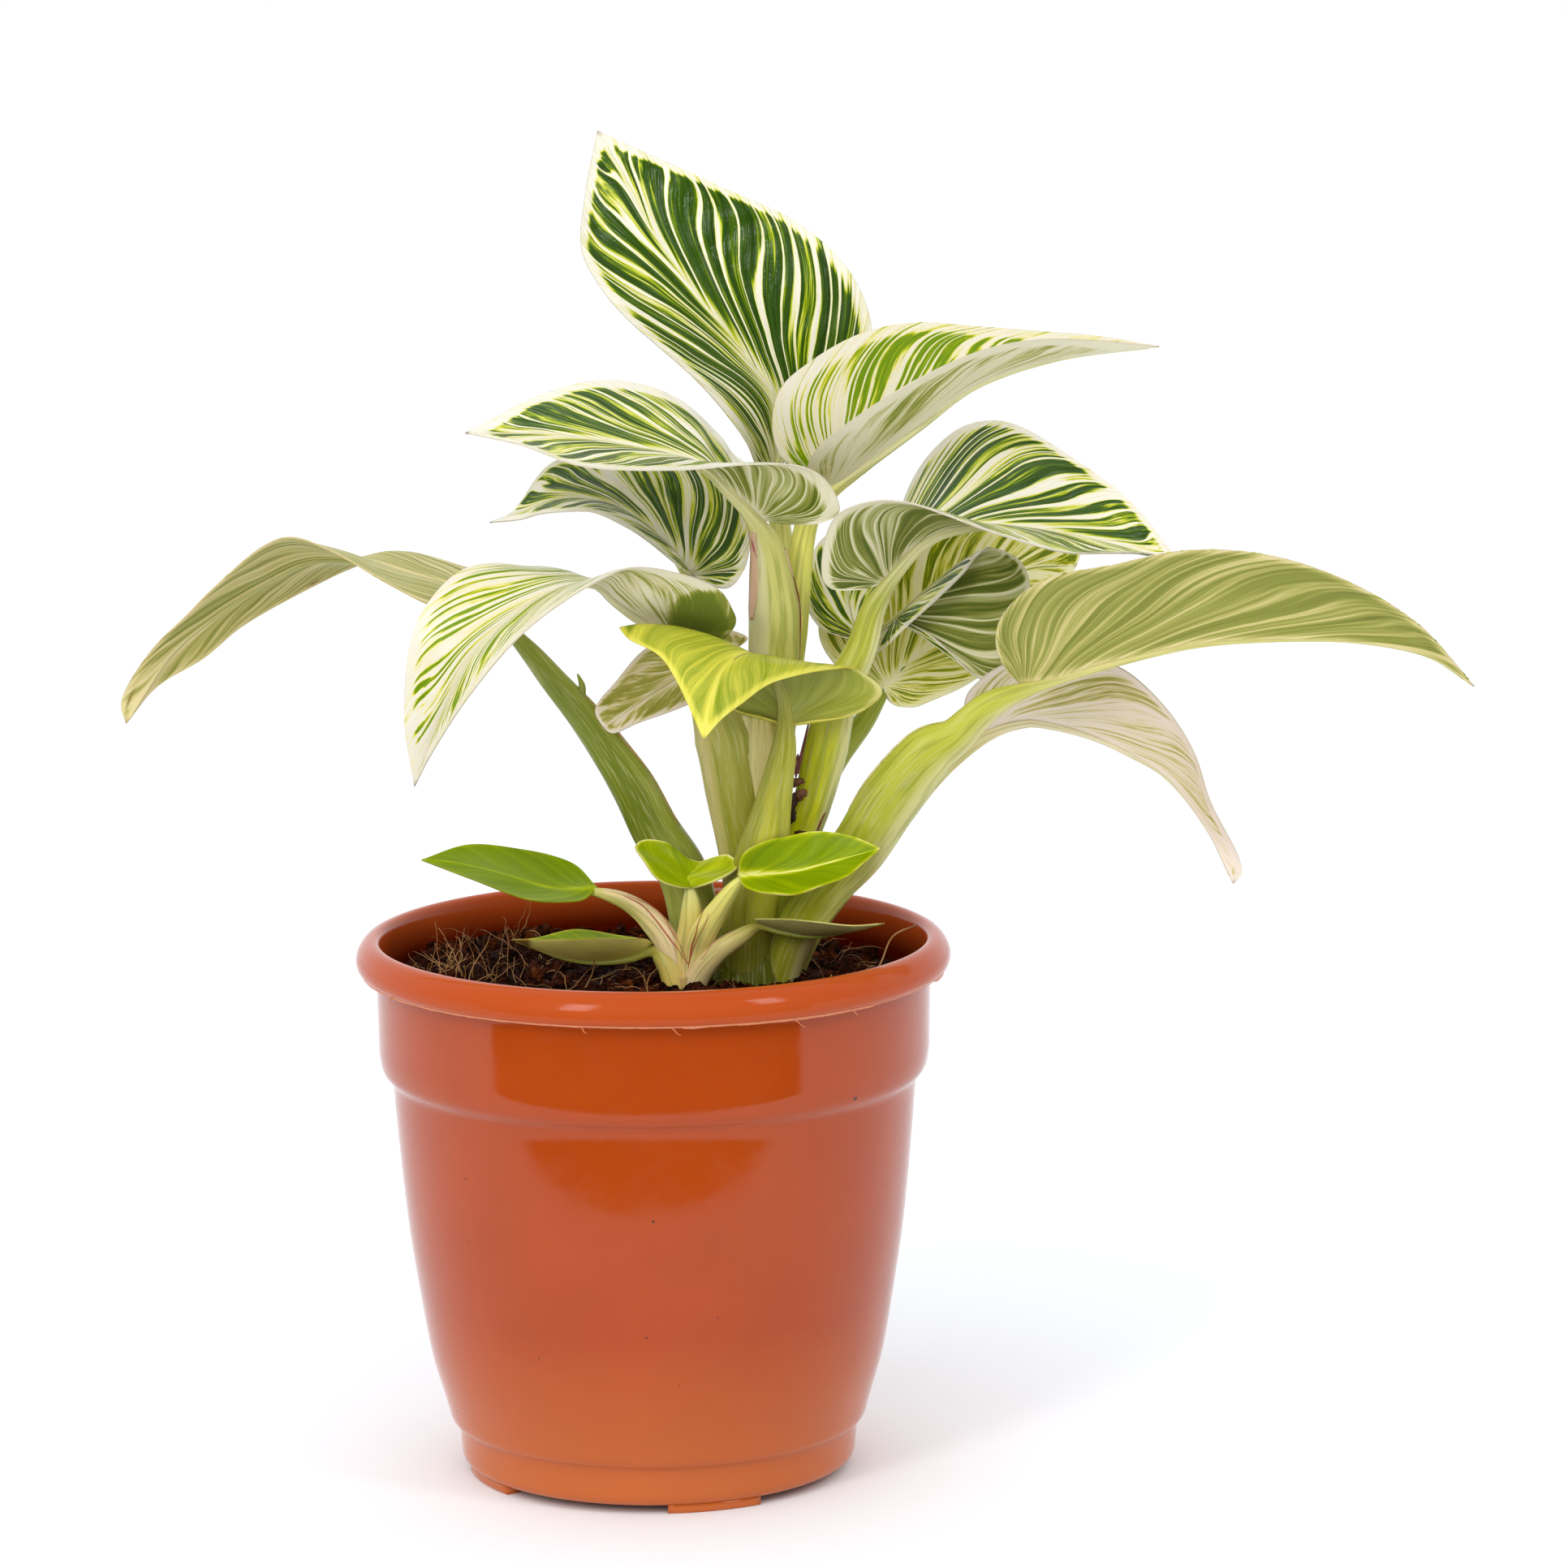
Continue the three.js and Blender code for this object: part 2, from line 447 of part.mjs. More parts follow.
// Stalks of the main plant, each from its blade down into the soil.
// The last number is how deep the stalk is compared with its width.
const MAIN_STALKS = [
  [[[30, 22, 232, 2], [31, 20, 222, 2.6], [31, 15, 202, 4], [29, 12, 182, 4.5],
    [27, 10, 159, 4.5], [23, 9, 132, 5], [21, 8, 107, 4]], 0.9],
  [[[40, 4, 232, 2.4], [37, 6, 225, 2.6], [33, 8, 198, 4], [30, 7, 179, 4.5],
    [27, 7, 156, 4.5], [21, 6, 107, 4]], 0.9],
  [[[27, -3, 226, 2.6], [28, -1, 217, 4.5], [29, 1, 206, 6], [29, 3, 195, 6],
    [28, 4, 178, 5.5], [27, 5, 160, 5], [24, 5, 137, 5.5], [22, 4, 107, 5]], 0.8],
  [[[10, 10, 210, 2], [14, 14, 200, 2.4], [18, 14, 188, 3], [23, 13, 174, 4],
    [26, 13, 159, 4], [22, 10, 107, 4]], 0.8],
  [[[21, 8, 194, 1.6], [24, 8, 188, 2.4], [27, 8, 176, 3]], 0.9],
  [[[50, 12, 195, 1.6], [47, 10, 186, 2.6], [42, 7, 172, 3.4]], 0.9],
  [[[56, 13, 198, 1.7], [52, 13, 194, 2.3], [48, 9, 187, 2.6], [43, 6, 176, 3]], 0.9],
  [[[-31, 6, 199, 2], [-24, 4, 190, 3], [-15, 4, 179, 4], [-5, 4, 164, 5.2],
    [1, 5, 152, 5.8], [7, 6, 142, 6], [10, 8, 129, 6], [12, 8, 107, 5]], 0.8],
  [[[9, -5, 198, 2.2], [13, -6, 188, 4.5], [17, -5, 176, 7], [19, -4, 163, 6.5],
    [21, -2, 148, 5.5], [22, 1, 134, 5], [21, 3, 107, 5]], 0.5],
  [[[32, -13, 179, 2.8], [30, -13, 170, 3.4], [28, -11, 160, 4.5], [26, -8, 150, 6],
    [23, -2, 137, 6.5], [22, 1, 123, 6], [22, 3, 107, 6]], 0.75],
  [[[53, 2, 210, 2.6], [50, 2, 197, 3.6], [44, 1, 184, 4.6], [41, 1, 172, 5.2],
    [38, 1, 160, 4.6], [33, 2, 145, 4.5], [26, 3, 107, 4]], 0.8],
  [[[55, 13, 183, 2], [50, 12, 176, 2.6], [43, 10, 167, 3], [38, 9, 157, 3.4],
    [32, 6, 137, 4.4], [27, 5, 107, 4]], 0.8],
  [[[85, -12, 189, 3.2], [76, -12, 182, 3.6], [71, -12, 177, 4.4], [65, -11, 173, 6.4],
    [56, -9, 162, 7.2], [48, -6, 149, 6.8], [39, -3, 138, 6], [32, 0, 125, 5],
    [27, 3, 107, 4]], 0.7],
  [[[77, 9, 173, 2], [67, 9, 165, 3], [57, 8, 154, 4], [45, 8, 140, 4.5],
    [35, 7, 127, 5], [28, 6, 107, 4]], 0.8],
];

const PUP_STALKS = [
  [[[-13, -2, 139, 1.4], [-6, -4, 137, 2], [0, -5, 132, 2.9], [4, -6, 126, 3.2],
    [7, -7, 110, 3]], 0.8],
  [[[9, -8, 140, 2], [9, -8, 133, 2.8], [8, -7, 126, 3.2], [8, -7, 110, 3]], 0.8],
  [[[20, -14, 144, 1.6], [17, -13, 139, 2.3], [12, -11, 131, 3.2], [10, -8, 124, 3.2],
    [8, -7, 110, 3]], 0.8],
  [[[0, -5, 126, 2], [3, -7, 123, 2.6], [5, -8, 118, 3], [7, -8, 110, 2.6]], 0.9],
  [[[25, -10, 132, 1.5], [19, -12, 129, 2.2], [14, -11, 125, 2.6], [10, -9, 119, 2.8],
    [8, -8, 110, 2.6]], 0.9],
];

// Blades first, because the stalks are trimmed to stand clear of them
const clearances = [];
function addLeaves(leaves, thickness, rows, columns) {
  for (const [name, leaf] of Object.entries(leaves)) {
    const room = bladeGeometry(leaf, thickness + 2 * GAP, rows, columns, GAP);
    clearances.push(toSolid(room));
    addPiece(name, bladeGeometry(leaf, thickness, rows, columns, 0), leaf.color, 0.4);
  }
}
addLeaves(BIG_LEAVES, BLADE, 11, 3);
addLeaves(SMALL_LEAVES, SMALL_BLADE, 8, 2);

function clump(stalks, extra) {
  const steps = 8;
  return fuse(stalks.map(([points, flat]) => toSolid(stalkGeometry(points, flat, extra, steps))));
}

const mainCrown = [[23, 5, 126, 9], [23, 5, 116, 11], [23, 5, 105, 9]];
const pupCrown = [[8, -7, 120, 4.6], [8, -7, 114, 5], [8, -7, 109, 4]];
const mainStems = [...MAIN_STALKS, [mainCrown, 0.8]];
const pupStems = [...PUP_STALKS, [pupCrown, 0.8]];
let main = clump(mainStems, 0);
let pup = clump(pupStems, 0);
for (const blade of clearances) {
  main = main.subtract(blade);
  pup = pup.subtract(blade);
}
addPiece('main_stems', toGeometry(largestBody(main)), STEM_GREEN, 0.5);
addPiece('pup_stems', toGeometry(largestBody(pup)), PUP_GREEN, 0.5);

// Soil: fills the pot to just under the rim, heaped a little at the left
const SOIL_RINGS = 5;
const SOIL_SIDES = POT_SIDES;
function soilTop(r, angle, j, i) {
  const heap = 3 * Math.exp(-(((r * Math.cos(angle) + 45) / 22) ** 2));
  const crumbs = 0.9 * Math.sin(5 * i + 3 * j) + 0.7 * Math.sin(2.3 * j * i + 1);
  return SOIL_LEVEL + heap + (i < SOIL_RINGS ? crumbs : 0) - (i === SOIL_RINGS ? 1 : 0);
}

function soilGeometry() {
  const wall = [[62.1, 103.6], [60, 97.4], [54.2, 45], [46, 13.4], [44, 6.3]];
  const points = [new THREE.Vector3(0, 0, SOIL_LEVEL)];
  const faces = [];
  for (let i = 1; i <= SOIL_RINGS; i += 1) {
    const r = 62.4 * i / SOIL_RINGS;
    for (let j = 0; j < SOIL_SIDES; j += 1) {
      const a = 2 * Math.PI * j / SOIL_SIDES;
      points.push(new THREE.Vector3(r * Math.cos(a), r * Math.sin(a), soilTop(r, a, j, i)));
    }
  }
  for (const [r, z] of wall) {
    for (let j = 0; j < SOIL_SIDES; j += 1) {
      const a = 2 * Math.PI * j / SOIL_SIDES;
      points.push(new THREE.Vector3(r * Math.cos(a), r * Math.sin(a), z));
    }
  }
  points.push(new THREE.Vector3(0, 0, 6.3));
  const rings = SOIL_RINGS + wall.length;
  for (let j = 0; j < SOIL_SIDES; j += 1) {
    const k = (j + 1) % SOIL_SIDES;
    faces.push([0, 1 + j, 1 + k]);
    for (let i = 0; i < rings - 1; i += 1) {
      const a = 1 + i * SOIL_SIDES;
      const b = a + SOIL_SIDES;
      faces.push([a + j, b + j, b + k], [a + j, b + k, a + k]);
    }
    const last = 1 + (rings - 1) * SOIL_SIDES;
    faces.push([points.length - 1, last + k, last + j]);
  }
  return geometryOf(points, faces);
}

// Only the parts of the stalks that reach below the surface need a hole
const holes = [clump(mainStems, GAP), clump(pupStems, GAP)];
let soil = toSolid(soilGeometry());
for (const hole of holes) soil = soil.subtract(hole);
addPiece('potting_soil', toGeometry(largestBody(soil)), SOIL_BROWN, 0.95);

// Dry remains of a leaf sheath, in the gap between two stalks
const remnant = [[35, -2, 172, 0.7], [35, -2, 166, 1.2], [34, -2, 160, 1.3], [33, -2, 156, 0.9]];
let dry = toSolid(stalkGeometry(remnant, 0.9, 0, 6));
dry = dry.subtract(clump(MAIN_STALKS, GAP));
addPiece('dry_sheath', toGeometry(largestBody(dry)), DRY_BROWN, 0.9);

const potBody = fuse([toSolid(turned(POT_PROFILE, POT_SIDES)),
  ...FOOT_ANGLES.map((angle) => toSolid(footTab(angle)))]);
addPiece('pot', toGeometry(potBody), TERRACOTTA, 0.28);

export default group;
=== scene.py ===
# %% [markdown]
# A young birkin philodendron in a moulded nursery pot, rebuilt as a lesson.
# The solid model comes first: it fixes every place and size, in metres, with
# +Z up and the photographed side facing -Y. Everything made here is a finer
# skin over those solids, so the script starts by loading them and noting the
# box that they fill.
#
# The plant is made of few kinds of thing: blades, stalks, soil and a pot. Each
# kind gets one function, and each blade and stalk gets its own line of given
# points, because no two leaves on a plant bend the same way.

# %% Load the solid model
import math
import random

import bmesh
import bpy
import numpy as np
from mathutils import Matrix, Vector, noise
from mathutils.bvhtree import BVHTree


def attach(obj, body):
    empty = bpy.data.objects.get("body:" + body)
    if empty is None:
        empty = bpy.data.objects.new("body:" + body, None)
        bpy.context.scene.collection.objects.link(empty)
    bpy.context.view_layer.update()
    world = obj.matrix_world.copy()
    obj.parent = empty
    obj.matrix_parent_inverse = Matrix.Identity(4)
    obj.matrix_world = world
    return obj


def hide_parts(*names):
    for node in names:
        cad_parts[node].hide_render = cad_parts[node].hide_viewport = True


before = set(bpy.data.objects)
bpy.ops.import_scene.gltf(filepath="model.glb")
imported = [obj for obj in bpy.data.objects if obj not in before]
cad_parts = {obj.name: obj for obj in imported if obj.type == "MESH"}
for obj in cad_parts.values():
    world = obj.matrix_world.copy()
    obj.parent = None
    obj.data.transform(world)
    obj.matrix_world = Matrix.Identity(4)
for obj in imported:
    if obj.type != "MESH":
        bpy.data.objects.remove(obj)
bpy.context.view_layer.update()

MM = 0.001
POT_AXIS = np.array([-34.0, 0.0, 0.0])   # the pot's axis in the finished frame, in mm
BODY = "root"                            # nothing on a potted plant is jointed
print("solids:", len(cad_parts))

# %% [markdown]
# Points below are given in millimetres from the pot's axis, at the level of
# its feet, because that is how one measures a pot plant on a bench. One
# function moves them into the finished frame and makes the mesh. A second one
# says what a piece rides on, and hides the plain solid that it stands for.

# %% Making and placing pieces
def put_in_scene(name, data):
    thing = bpy.data.objects.new(name, data)
    bpy.context.scene.collection.objects.link(thing)
    return thing


def make_mesh(name, points, faces, materials, flat_faces=False):
    mesh = bpy.data.meshes.new(name)
    placed = (np.asarray(points, float) + POT_AXIS) * MM
    mesh.from_pydata(placed.tolist(), [], [tuple(int(i) for i in f) for f in faces])
    mesh.update()
    for material in materials:
        mesh.materials.append(material)
    if not flat_faces:
        mesh.shade_smooth()
    return put_in_scene(name, mesh)


def place(piece, slot, *nodes):
    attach(piece, BODY)
    if nodes:
        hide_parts(*nodes)


def point_values(piece, name, values):
    layer = piece.data.attributes.new(name, "FLOAT", "POINT")
    layer.data.foreach_set("value", np.asarray(values, np.float32))


def point_colours(piece, name, colours):
    layer = piece.data.attributes.new(name, "FLOAT_COLOR", "POINT")
    layer.data.foreach_set("color", np.asarray(colours, np.float32).ravel())


def corner_map(piece, name, point_uv):
    layer = piece.data.uv_layers.new(name=name)
    corners = np.empty(len(piece.data.loops), np.int32)
    piece.data.loops.foreach_get("vertex_index", corners)
    layer.data.foreach_set("uv", np.asarray(point_uv, np.float32)[corners].ravel())


# %% [markdown]
# Colours are written as the sRGB hex values that one reads off a screen, and
# one function turns them into the linear light that the shader works in.
# Another adds a shader node. Each input gets either a constant or the output of
# an earlier node, all in one dictionary, so a recipe reads from top to bottom.
# The scale of a noise counts swells per metre: 330 is one in 3 mm.

# %% Colour and shader helpers
def linear(hex_colour):
    channels = [int(hex_colour[i:i + 2], 16) / 255 for i in (0, 2, 4)]
    return [c / 12.92 if c <= 0.04045 else ((c + 0.055) / 1.055) ** 2.4
            for c in channels] + [1.0]


def add(tree, kind, inputs=None, **settings):
    node = tree.nodes.new(kind)
    for name, value in settings.items():
        setattr(node, name, value)
    for socket, value in (inputs or {}).items():
        if isinstance(value, bpy.types.NodeSocket):
            tree.links.new(value, node.inputs[socket])
        else:
            node.inputs[socket].default_value = value
    return node


def new_material(name, **shader_values):
    material = bpy.data.materials.new(name)
    material.use_nodes = True
    tree = material.node_tree
    shader = tree.nodes["Principled BSDF"]
    for socket, value in shader_values.items():
        shader.inputs[socket.replace("_", " ")].default_value = value
    return material, tree, shader


def set_stops(ramp_node, stops):
    ramp = ramp_node.color_ramp
    while len(ramp.elements) > 1:
        ramp.elements.remove(ramp.elements[-1])
    ramp.elements[0].position = stops[0][0]
    ramp.elements[0].color = linear(stops[0][1])
    for place_on_ramp, hex_colour in stops[1:]:
        element = ramp.elements.new(place_on_ramp)
        element.color = linear(hex_colour)


# %% [markdown]
# Camera. The plant was photographed with a long lens from just above the rim,
# so verticals barely converge. The camera stands 1.6 m away, looks a little to
# the right of the pot and 10 degrees down, and leans by half a degree.

# %% Camera
CAMERA_SPOT = (-0.034, -1.59198, 0.45002)
LOOK_DOWN, LOOK_RIGHT, LEAN = (math.radians(a) for a in (10.19, 1.118, 0.45))
LENS_MM, SENSOR_MM = 158.385, 36

ahead = np.array([math.sin(LOOK_RIGHT) * math.cos(LOOK_DOWN),
                  math.cos(LOOK_RIGHT) * math.cos(LOOK_DOWN), -math.sin(LOOK_DOWN)])
level = np.array([math.cos(LOOK_RIGHT), -math.sin(LOOK_RIGHT), 0.0])
upright = np.cross(level, ahead)
side = level * math.cos(LEAN) - upright * math.sin(LEAN)
top = upright * math.cos(LEAN) + level * math.sin(LEAN)

camera_data = bpy.data.cameras.new("camera")
camera_data.lens = LENS_MM
camera_data.sensor_width = SENSOR_MM
camera_data.clip_start, camera_data.clip_end = 0.05, 60
camera = put_in_scene("camera", camera_data)
camera.matrix_world = Matrix([[side[i], top[i], -ahead[i], CAMERA_SPOT[i]] for i in range(3)]
                             + [[0, 0, 0, 1]])
bpy.context.scene.camera = camera
print("camera height", CAMERA_SPOT[2])

# %% [markdown]
# Studio. The picture is a white-table product shot: a wide pale surface, light
# from all round, and two soft boxes in front that give the rim and the leaves
# their highlights. The glossy pot is what shows the room: pale at both sides,
# where it mirrors the white surroundings, and saturated in the middle, where
# it mirrors what lies beyond the near end of the table. A dark card that only
# reflections see stands in for that. Its near edge is bowed, and that edge is
# the round lower border of the saturated patch on the pot.

# %% Floor, sky light and soft boxes
FLOOR_RADIUS, FLOOR_CORNERS = 12.0, 64
FRONT_LIGHT, BACK_LIGHT = 0.25, 1.2     # the room is darker behind the photographer
KEY_LIGHT, KEY_SPREAD = 1.7, math.radians(80)
CARD_HEIGHT = 0.002                     # just above the floor, in metres

world = bpy.data.worlds.new("studio")
bpy.context.scene.world = world
world.use_nodes = True
sky = world.node_tree
sky.nodes["Background"].inputs["Color"].default_value = linear("fdfdff")
toward = add(sky, "ShaderNodeSeparateXYZ",
             {"Vector": add(sky, "ShaderNodeTexCoord").outputs["Generated"]})
front_to_back = add(sky, "ShaderNodeMapRange", {
    "Value": toward.outputs["Y"], "From Min": -0.5, "From Max": 0.5, "To Min": FRONT_LIGHT,
    "To Max": BACK_LIGHT}, interpolation_type="SMOOTHSTEP")
sky.links.new(front_to_back.outputs["Result"], sky.nodes["Background"].inputs["Strength"])


def flat_sheet(name, corners, material):
    mesh = bpy.data.meshes.new(name)
    mesh.from_pydata(corners, [], [tuple(range(len(corners)))])
    mesh.materials.append(material)
    return put_in_scene(name, mesh)


def facing(direction):
    return Vector(direction).to_track_quat("-Z", "Y").to_euler()


def soft_box(name, spot, aim, size, watts):
    lamp = bpy.data.lights.new(name, "AREA")
    lamp.shape = "RECTANGLE"
    lamp.size, lamp.size_y = size
    lamp.energy = watts
    holder = put_in_scene(name, lamp)
    holder.location = spot
    holder.rotation_euler = facing(Vector(aim) - Vector(spot))


paper, *_ = new_material("white_paper_floor", Base_Color=linear("f4f8fb"), Roughness=0.9,
                         Specular_IOR_Level=0.1)
corners = [(FLOOR_RADIUS * math.cos(a), FLOOR_RADIUS * math.sin(a), 0)
           for a in np.linspace(0, 2 * math.pi, FLOOR_CORNERS, endpoint=False)]
floor = flat_sheet("floor", corners, paper)

soft_box("soft_box_left", (-0.88, -1.42, 1.02), (0, 0, 0.2), (0.35, 0.9), 9)
soft_box("soft_box_right", (1.08, -1.00, 1.17), (0, 0, 0.2), (0.3, 0.6), 5)

key = bpy.data.lights.new("broad_key_light", "SUN")
key.energy = KEY_LIGHT
key.angle = KEY_SPREAD
key_holder = put_in_scene("broad_key_light", key)
key_holder.rotation_euler = facing((0.18, 0.68, -0.71))
key_holder.visible_glossy = False

card_ink, *_ = new_material("dark_end_of_the_table", Base_Color=linear("1c1512"), Roughness=0.8,
                            Specular_IOR_Level=0.0)
outline = [(-0.50, -0.20), (-4.0, -1.6), (-3.0, -6.0), (3.0, -6.0), (3.6, -2.05),
           (0.30, -0.205), (0.158, -0.201), (0.06, -0.220), (-0.034, -0.228), (-0.15, -0.205),
           (-0.259, -0.168)]     # its near end lies 17 to 23 cm in front of the pot's axis
card = flat_sheet("dark_card", [(x, y, CARD_HEIGHT) for x, y in outline], card_ink)
card.visible_camera = card.visible_diffuse = card.visible_shadow = False
card.visible_transmission = False
bpy.context.scene.view_settings.view_transform = "Standard"
print("lights:", len(bpy.data.lights))

# %% [markdown]
# Curves. A gardener could describe any blade with three bent wires: one for the
# midrib and one for each margin. A smooth curve through a few measured points
# does the same here. The centripetal form is used because it never loops or
# overshoots where points stand close together, as they do round a leaf's lobes.

# %% Smooth curves through measured points
STEPS_PER_SPAN = 24


def curve_through(points, count=240):
    p = np.asarray(points, float)
    p = np.vstack([2 * p[0] - p[1], p, 2 * p[-1] - p[-2]])
    step = np.linspace(0, 1, STEPS_PER_SPAN, endpoint=False)[:, None]
    pieces = []
    for p0, p1, p2, p3 in zip(p[:-3], p[1:-2], p[2:-1], p[3:]):
        d0, d1, d2 = (max(math.sqrt(np.linalg.norm(q)), 1e-4) for q in (p1 - p0, p2 - p1, p3 - p2))
        t1 = ((p1 - p0) / d0 - (p2 - p0) / (d0 + d1) + (p2 - p1) / d1) * d1
        t2 = ((p2 - p1) / d1 - (p3 - p1) / (d1 + d2) + (p3 - p2) / d2) * d1
        pieces.append((2 * step**3 - 3 * step**2 + 1) * p1 + (step**3 - 2 * step**2 + step) * t1
                      + (-2 * step**3 + 3 * step**2) * p2 + (step**3 - step**2) * t2)
    dense = np.vstack(pieces + [p[-2][None]])
    walked = np.r_[0, np.cumsum(np.linalg.norm(np.diff(dense, axis=0), axis=1))]
    even = np.linspace(0, walked[-1], count + 1)
    return np.stack([np.interp(even, walked, dense[:, k]) for k in range(3)], axis=1), walked[-1]


def at(curve, fraction):
    x = np.clip(fraction, 0, 1) * (len(curve) - 1)
    i = np.minimum(x.astype(int), len(curve) - 2)
    f = (x - i)[:, None]
    return curve[i] * (1 - f) + curve[i + 1] * f


def unit(vectors, floor=1e-9):
    return vectors / np.maximum(np.linalg.norm(vectors, axis=-1, keepdims=True), floor)


def round_axis(radius, angle, z):
    return radius * math.cos(angle), radius * math.sin(angle), z


# %% [markdown]
# Tubes. Stalks, ribs, coir hairs and the thin red rims of the sheaths are all
# tubes along a curve. The cross-section is carried from one end to the other
# with as little turning as possible, so that streaks painted along a stalk run
# straight.

# %% Tubes along a curve
def tube(centres, radii, sides, flat=1.0):
    centres = np.asarray(centres, float)
    radii = np.broadcast_to(np.asarray(radii, float), len(centres))
    along = unit(np.gradient(centres, axis=0))
    across = np.cross(along[0], (0.0, 1.0, 0.0))
    if np.linalg.norm(across) < 0.1:
        across = np.cross(along[0], (1.0, 0.0, 0.0))
    rings = []
    angles = 2 * np.pi * np.arange(sides) / sides
    for centre, forward, radius in zip(centres, along, radii):
        across = unit(across - forward * np.dot(across, forward))
        depth = np.cross(forward, across)
        rings.append(centre + radius * (np.cos(angles)[:, None] * across
                                        + flat * np.sin(angles)[:, None] * depth))
    points = np.vstack(rings)
    faces = []
    for i in range(len(centres) - 1):
        for j in range(sides):
            k = (j + 1) % sides
            faces.append((i * sides + j, i * sides + k, (i + 1) * sides + k, (i + 1) * sides + j))
    last = (len(centres) - 1) * sides
    faces.append(tuple(range(sides - 1, -1, -1)))
    faces.append(tuple(range(last, last + sides)))
    return points, faces


def tapered(line, count, first, last, sides, flat=1.0):
    return tube(curve_through(line, count)[0], np.linspace(first, last, count + 1), sides, flat)


def gather(parts):
    points, faces, base = [], [], 0
    for some_points, some_faces in parts:
        points.append(some_points)
        faces.extend(tuple(i + base for i in face) for face in some_faces)
        base += len(some_points)
    return np.vstack(points), faces


# %% [markdown]
# The pot is injection-moulded polypropylene, coloured through with a
# terracotta pigment. It comes glossy from a polished steel mould, so it mirrors
# its surroundings like a weak, slightly wavy mirror, and handling leaves faint
# scuffs and dust on it. Turning one wall outline round an axis makes the body,
# as for any round moulding. The outline is a list of short runs that are smooth
# inside and meet at soft corners.

# %% Pot outline, from the middle of the base round the outside to the soil
POT_RUNS = [
    [(0, 3.6), (20, 3.6), (38.2, 3.6)],
    [(38.8, 3.3), (39.5, 2.2), (40.4, 1.8)],
    [(43.6, 1.8), (45.4, 2.2), (46.6, 3.5), (46.9, 5.4)],
    [(47.1, 8.0), (47.3, 10.9)],
    [(47.5, 11.5), (48.4, 11.9), (49.3, 13.2), (50.1, 16.0)],
    [(51.2, 20), (53.5, 28), (56.6, 46), (58.4, 58), (59.7, 70), (60.7, 81), (61.5, 91)],
    [(61.7, 93.8), (62.2, 95.3), (63.4, 96.4), (64.3, 98.0), (64.75, 100.4)],
    [(64.9, 101.6), (65.0, 108), (65.2, 119.4)],
    [(65.5, 120.4), (67.0, 120.5)],
    [(68.3, 120.6), (69.3, 121.2), (69.9, 122.6), (69.9, 124.2), (69.0, 126.3), (67.6, 127.8),
     (66.0, 128.3), (64.8, 128.0), (64.2, 127.0), (63.8, 125.0), (63.5, 121.0)],
    [(63.2, 118.4), (62.7, 105.0)],
    [(62.3, 101.0), (60.6, 97.4)],
    [(58.3, 76), (54.6, 45), (51.4, 28), (46.4, 13)],
    [(44.6, 6.4), (43.0, 6.0)],
    [(20, 6.0), (0, 6.0)],
]
POT_SEGMENTS = 256
WALL_STEP = 0.8      # mm between rings where the outline bends


def pot_outline():
    rings = []
    for run in POT_RUNS:
        flat = [(r, z, 0.0) for r, z in run]
        if len(flat) > 2:
            samples, length = curve_through(flat)
            count = max(3, int(length / WALL_STEP / (4 if length > 40 else 1)))
            flat = at(samples, np.linspace(0, 1, count))
        rings.extend((p[0], p[1]) for p in flat)
    return rings


def turn(outline, segments):
    angles = 2 * np.pi * np.arange(segments) / segments
    points, rows, faces = [], [], []
    for r, z in outline:
        if r < 1e-6:
            rows.append([len(points)] * segments)
            points.append((0.0, 0.0, z))
            continue
        rows.append(list(range(len(points), len(points) + segments)))
        points.extend(round_axis(r, a, z) for a in angles)
    for low, high in zip(rows[:-1], rows[1:]):
        for j in range(segments):
            k = (j + 1) % segments
            corners = (low[j], low[k], high[k], high[j])
            faces.append(tuple(dict.fromkeys(corners)))
    return np.array(points), faces


print("pot outline:", len(pot_outline()), "rings")

# %% [markdown]
# The finish. One noise at the scale of the mould's own waviness (30 mm) bends
# the reflections a little. A finer one (3 mm) is the flow and shrinkage of the
# plastic. Scuffs only change how sharp the reflection is. Dust is a pale film,
# and towards the foot the same pale tone thickens, partly as dust and partly as
# painted light that lifts the foot out of the shade there. Specks of potting mix
# stick here and there. The rim is rubbed dull by hands and trays, and inside,
# above the mix, painted shade darkens the colour from the rim down, where the
# rim and the leaves shade the wall.

# %% Moulded polypropylene
pot_plastic, tree, shader = new_material("glossy_moulded_polypropylene", IOR=1.46)
where = add(tree, "ShaderNodeTexCoord").outputs["Object"]
height = add(tree, "ShaderNodeSeparateXYZ", {"Vector": where}).outputs["Z"]

pigment = add(tree, "ShaderNodeTexNoise", {"Vector": where, "Scale": 60, "Detail": 3})
pigment_tone = add(tree, "ShaderNodeValToRGB", {"Fac": pigment.outputs["Fac"]})
set_stops(pigment_tone, [(0.3, "a33e0a"), (0.7, "a8410c")])

dust = add(tree, "ShaderNodeTexNoise",
           {"Vector": where, "Scale": 45, "Detail": 6, "Roughness": 0.65})
dust_film = add(tree, "ShaderNodeMapRange", {"Value": dust.outputs["Fac"], "From Min": 0.48,
                                             "From Max": 0.75, "To Max": 0.03})
# Towards the foot the pale tone thickens: partly dust, and partly painted light that lifts the foot out of
# the shade that falls there.
foot_dust_and_painted_light = add(tree, "ShaderNodeMapRange",
               {"Value": height, "From Min": 0.045, "From Max": 0.0, "To Max": 0.5})
dust_and_painted_light = add(tree, "ShaderNodeMath", {0: dust_film.outputs["Result"],
                                        1: foot_dust_and_painted_light.outputs["Result"]}, operation="ADD")
dusty_and_painted_light = add(tree, "ShaderNodeMix", {0: dust_and_painted_light.outputs[0], 6: pigment_tone.outputs["Color"],
                                    7: linear("d67a38")}, data_type="RGBA")

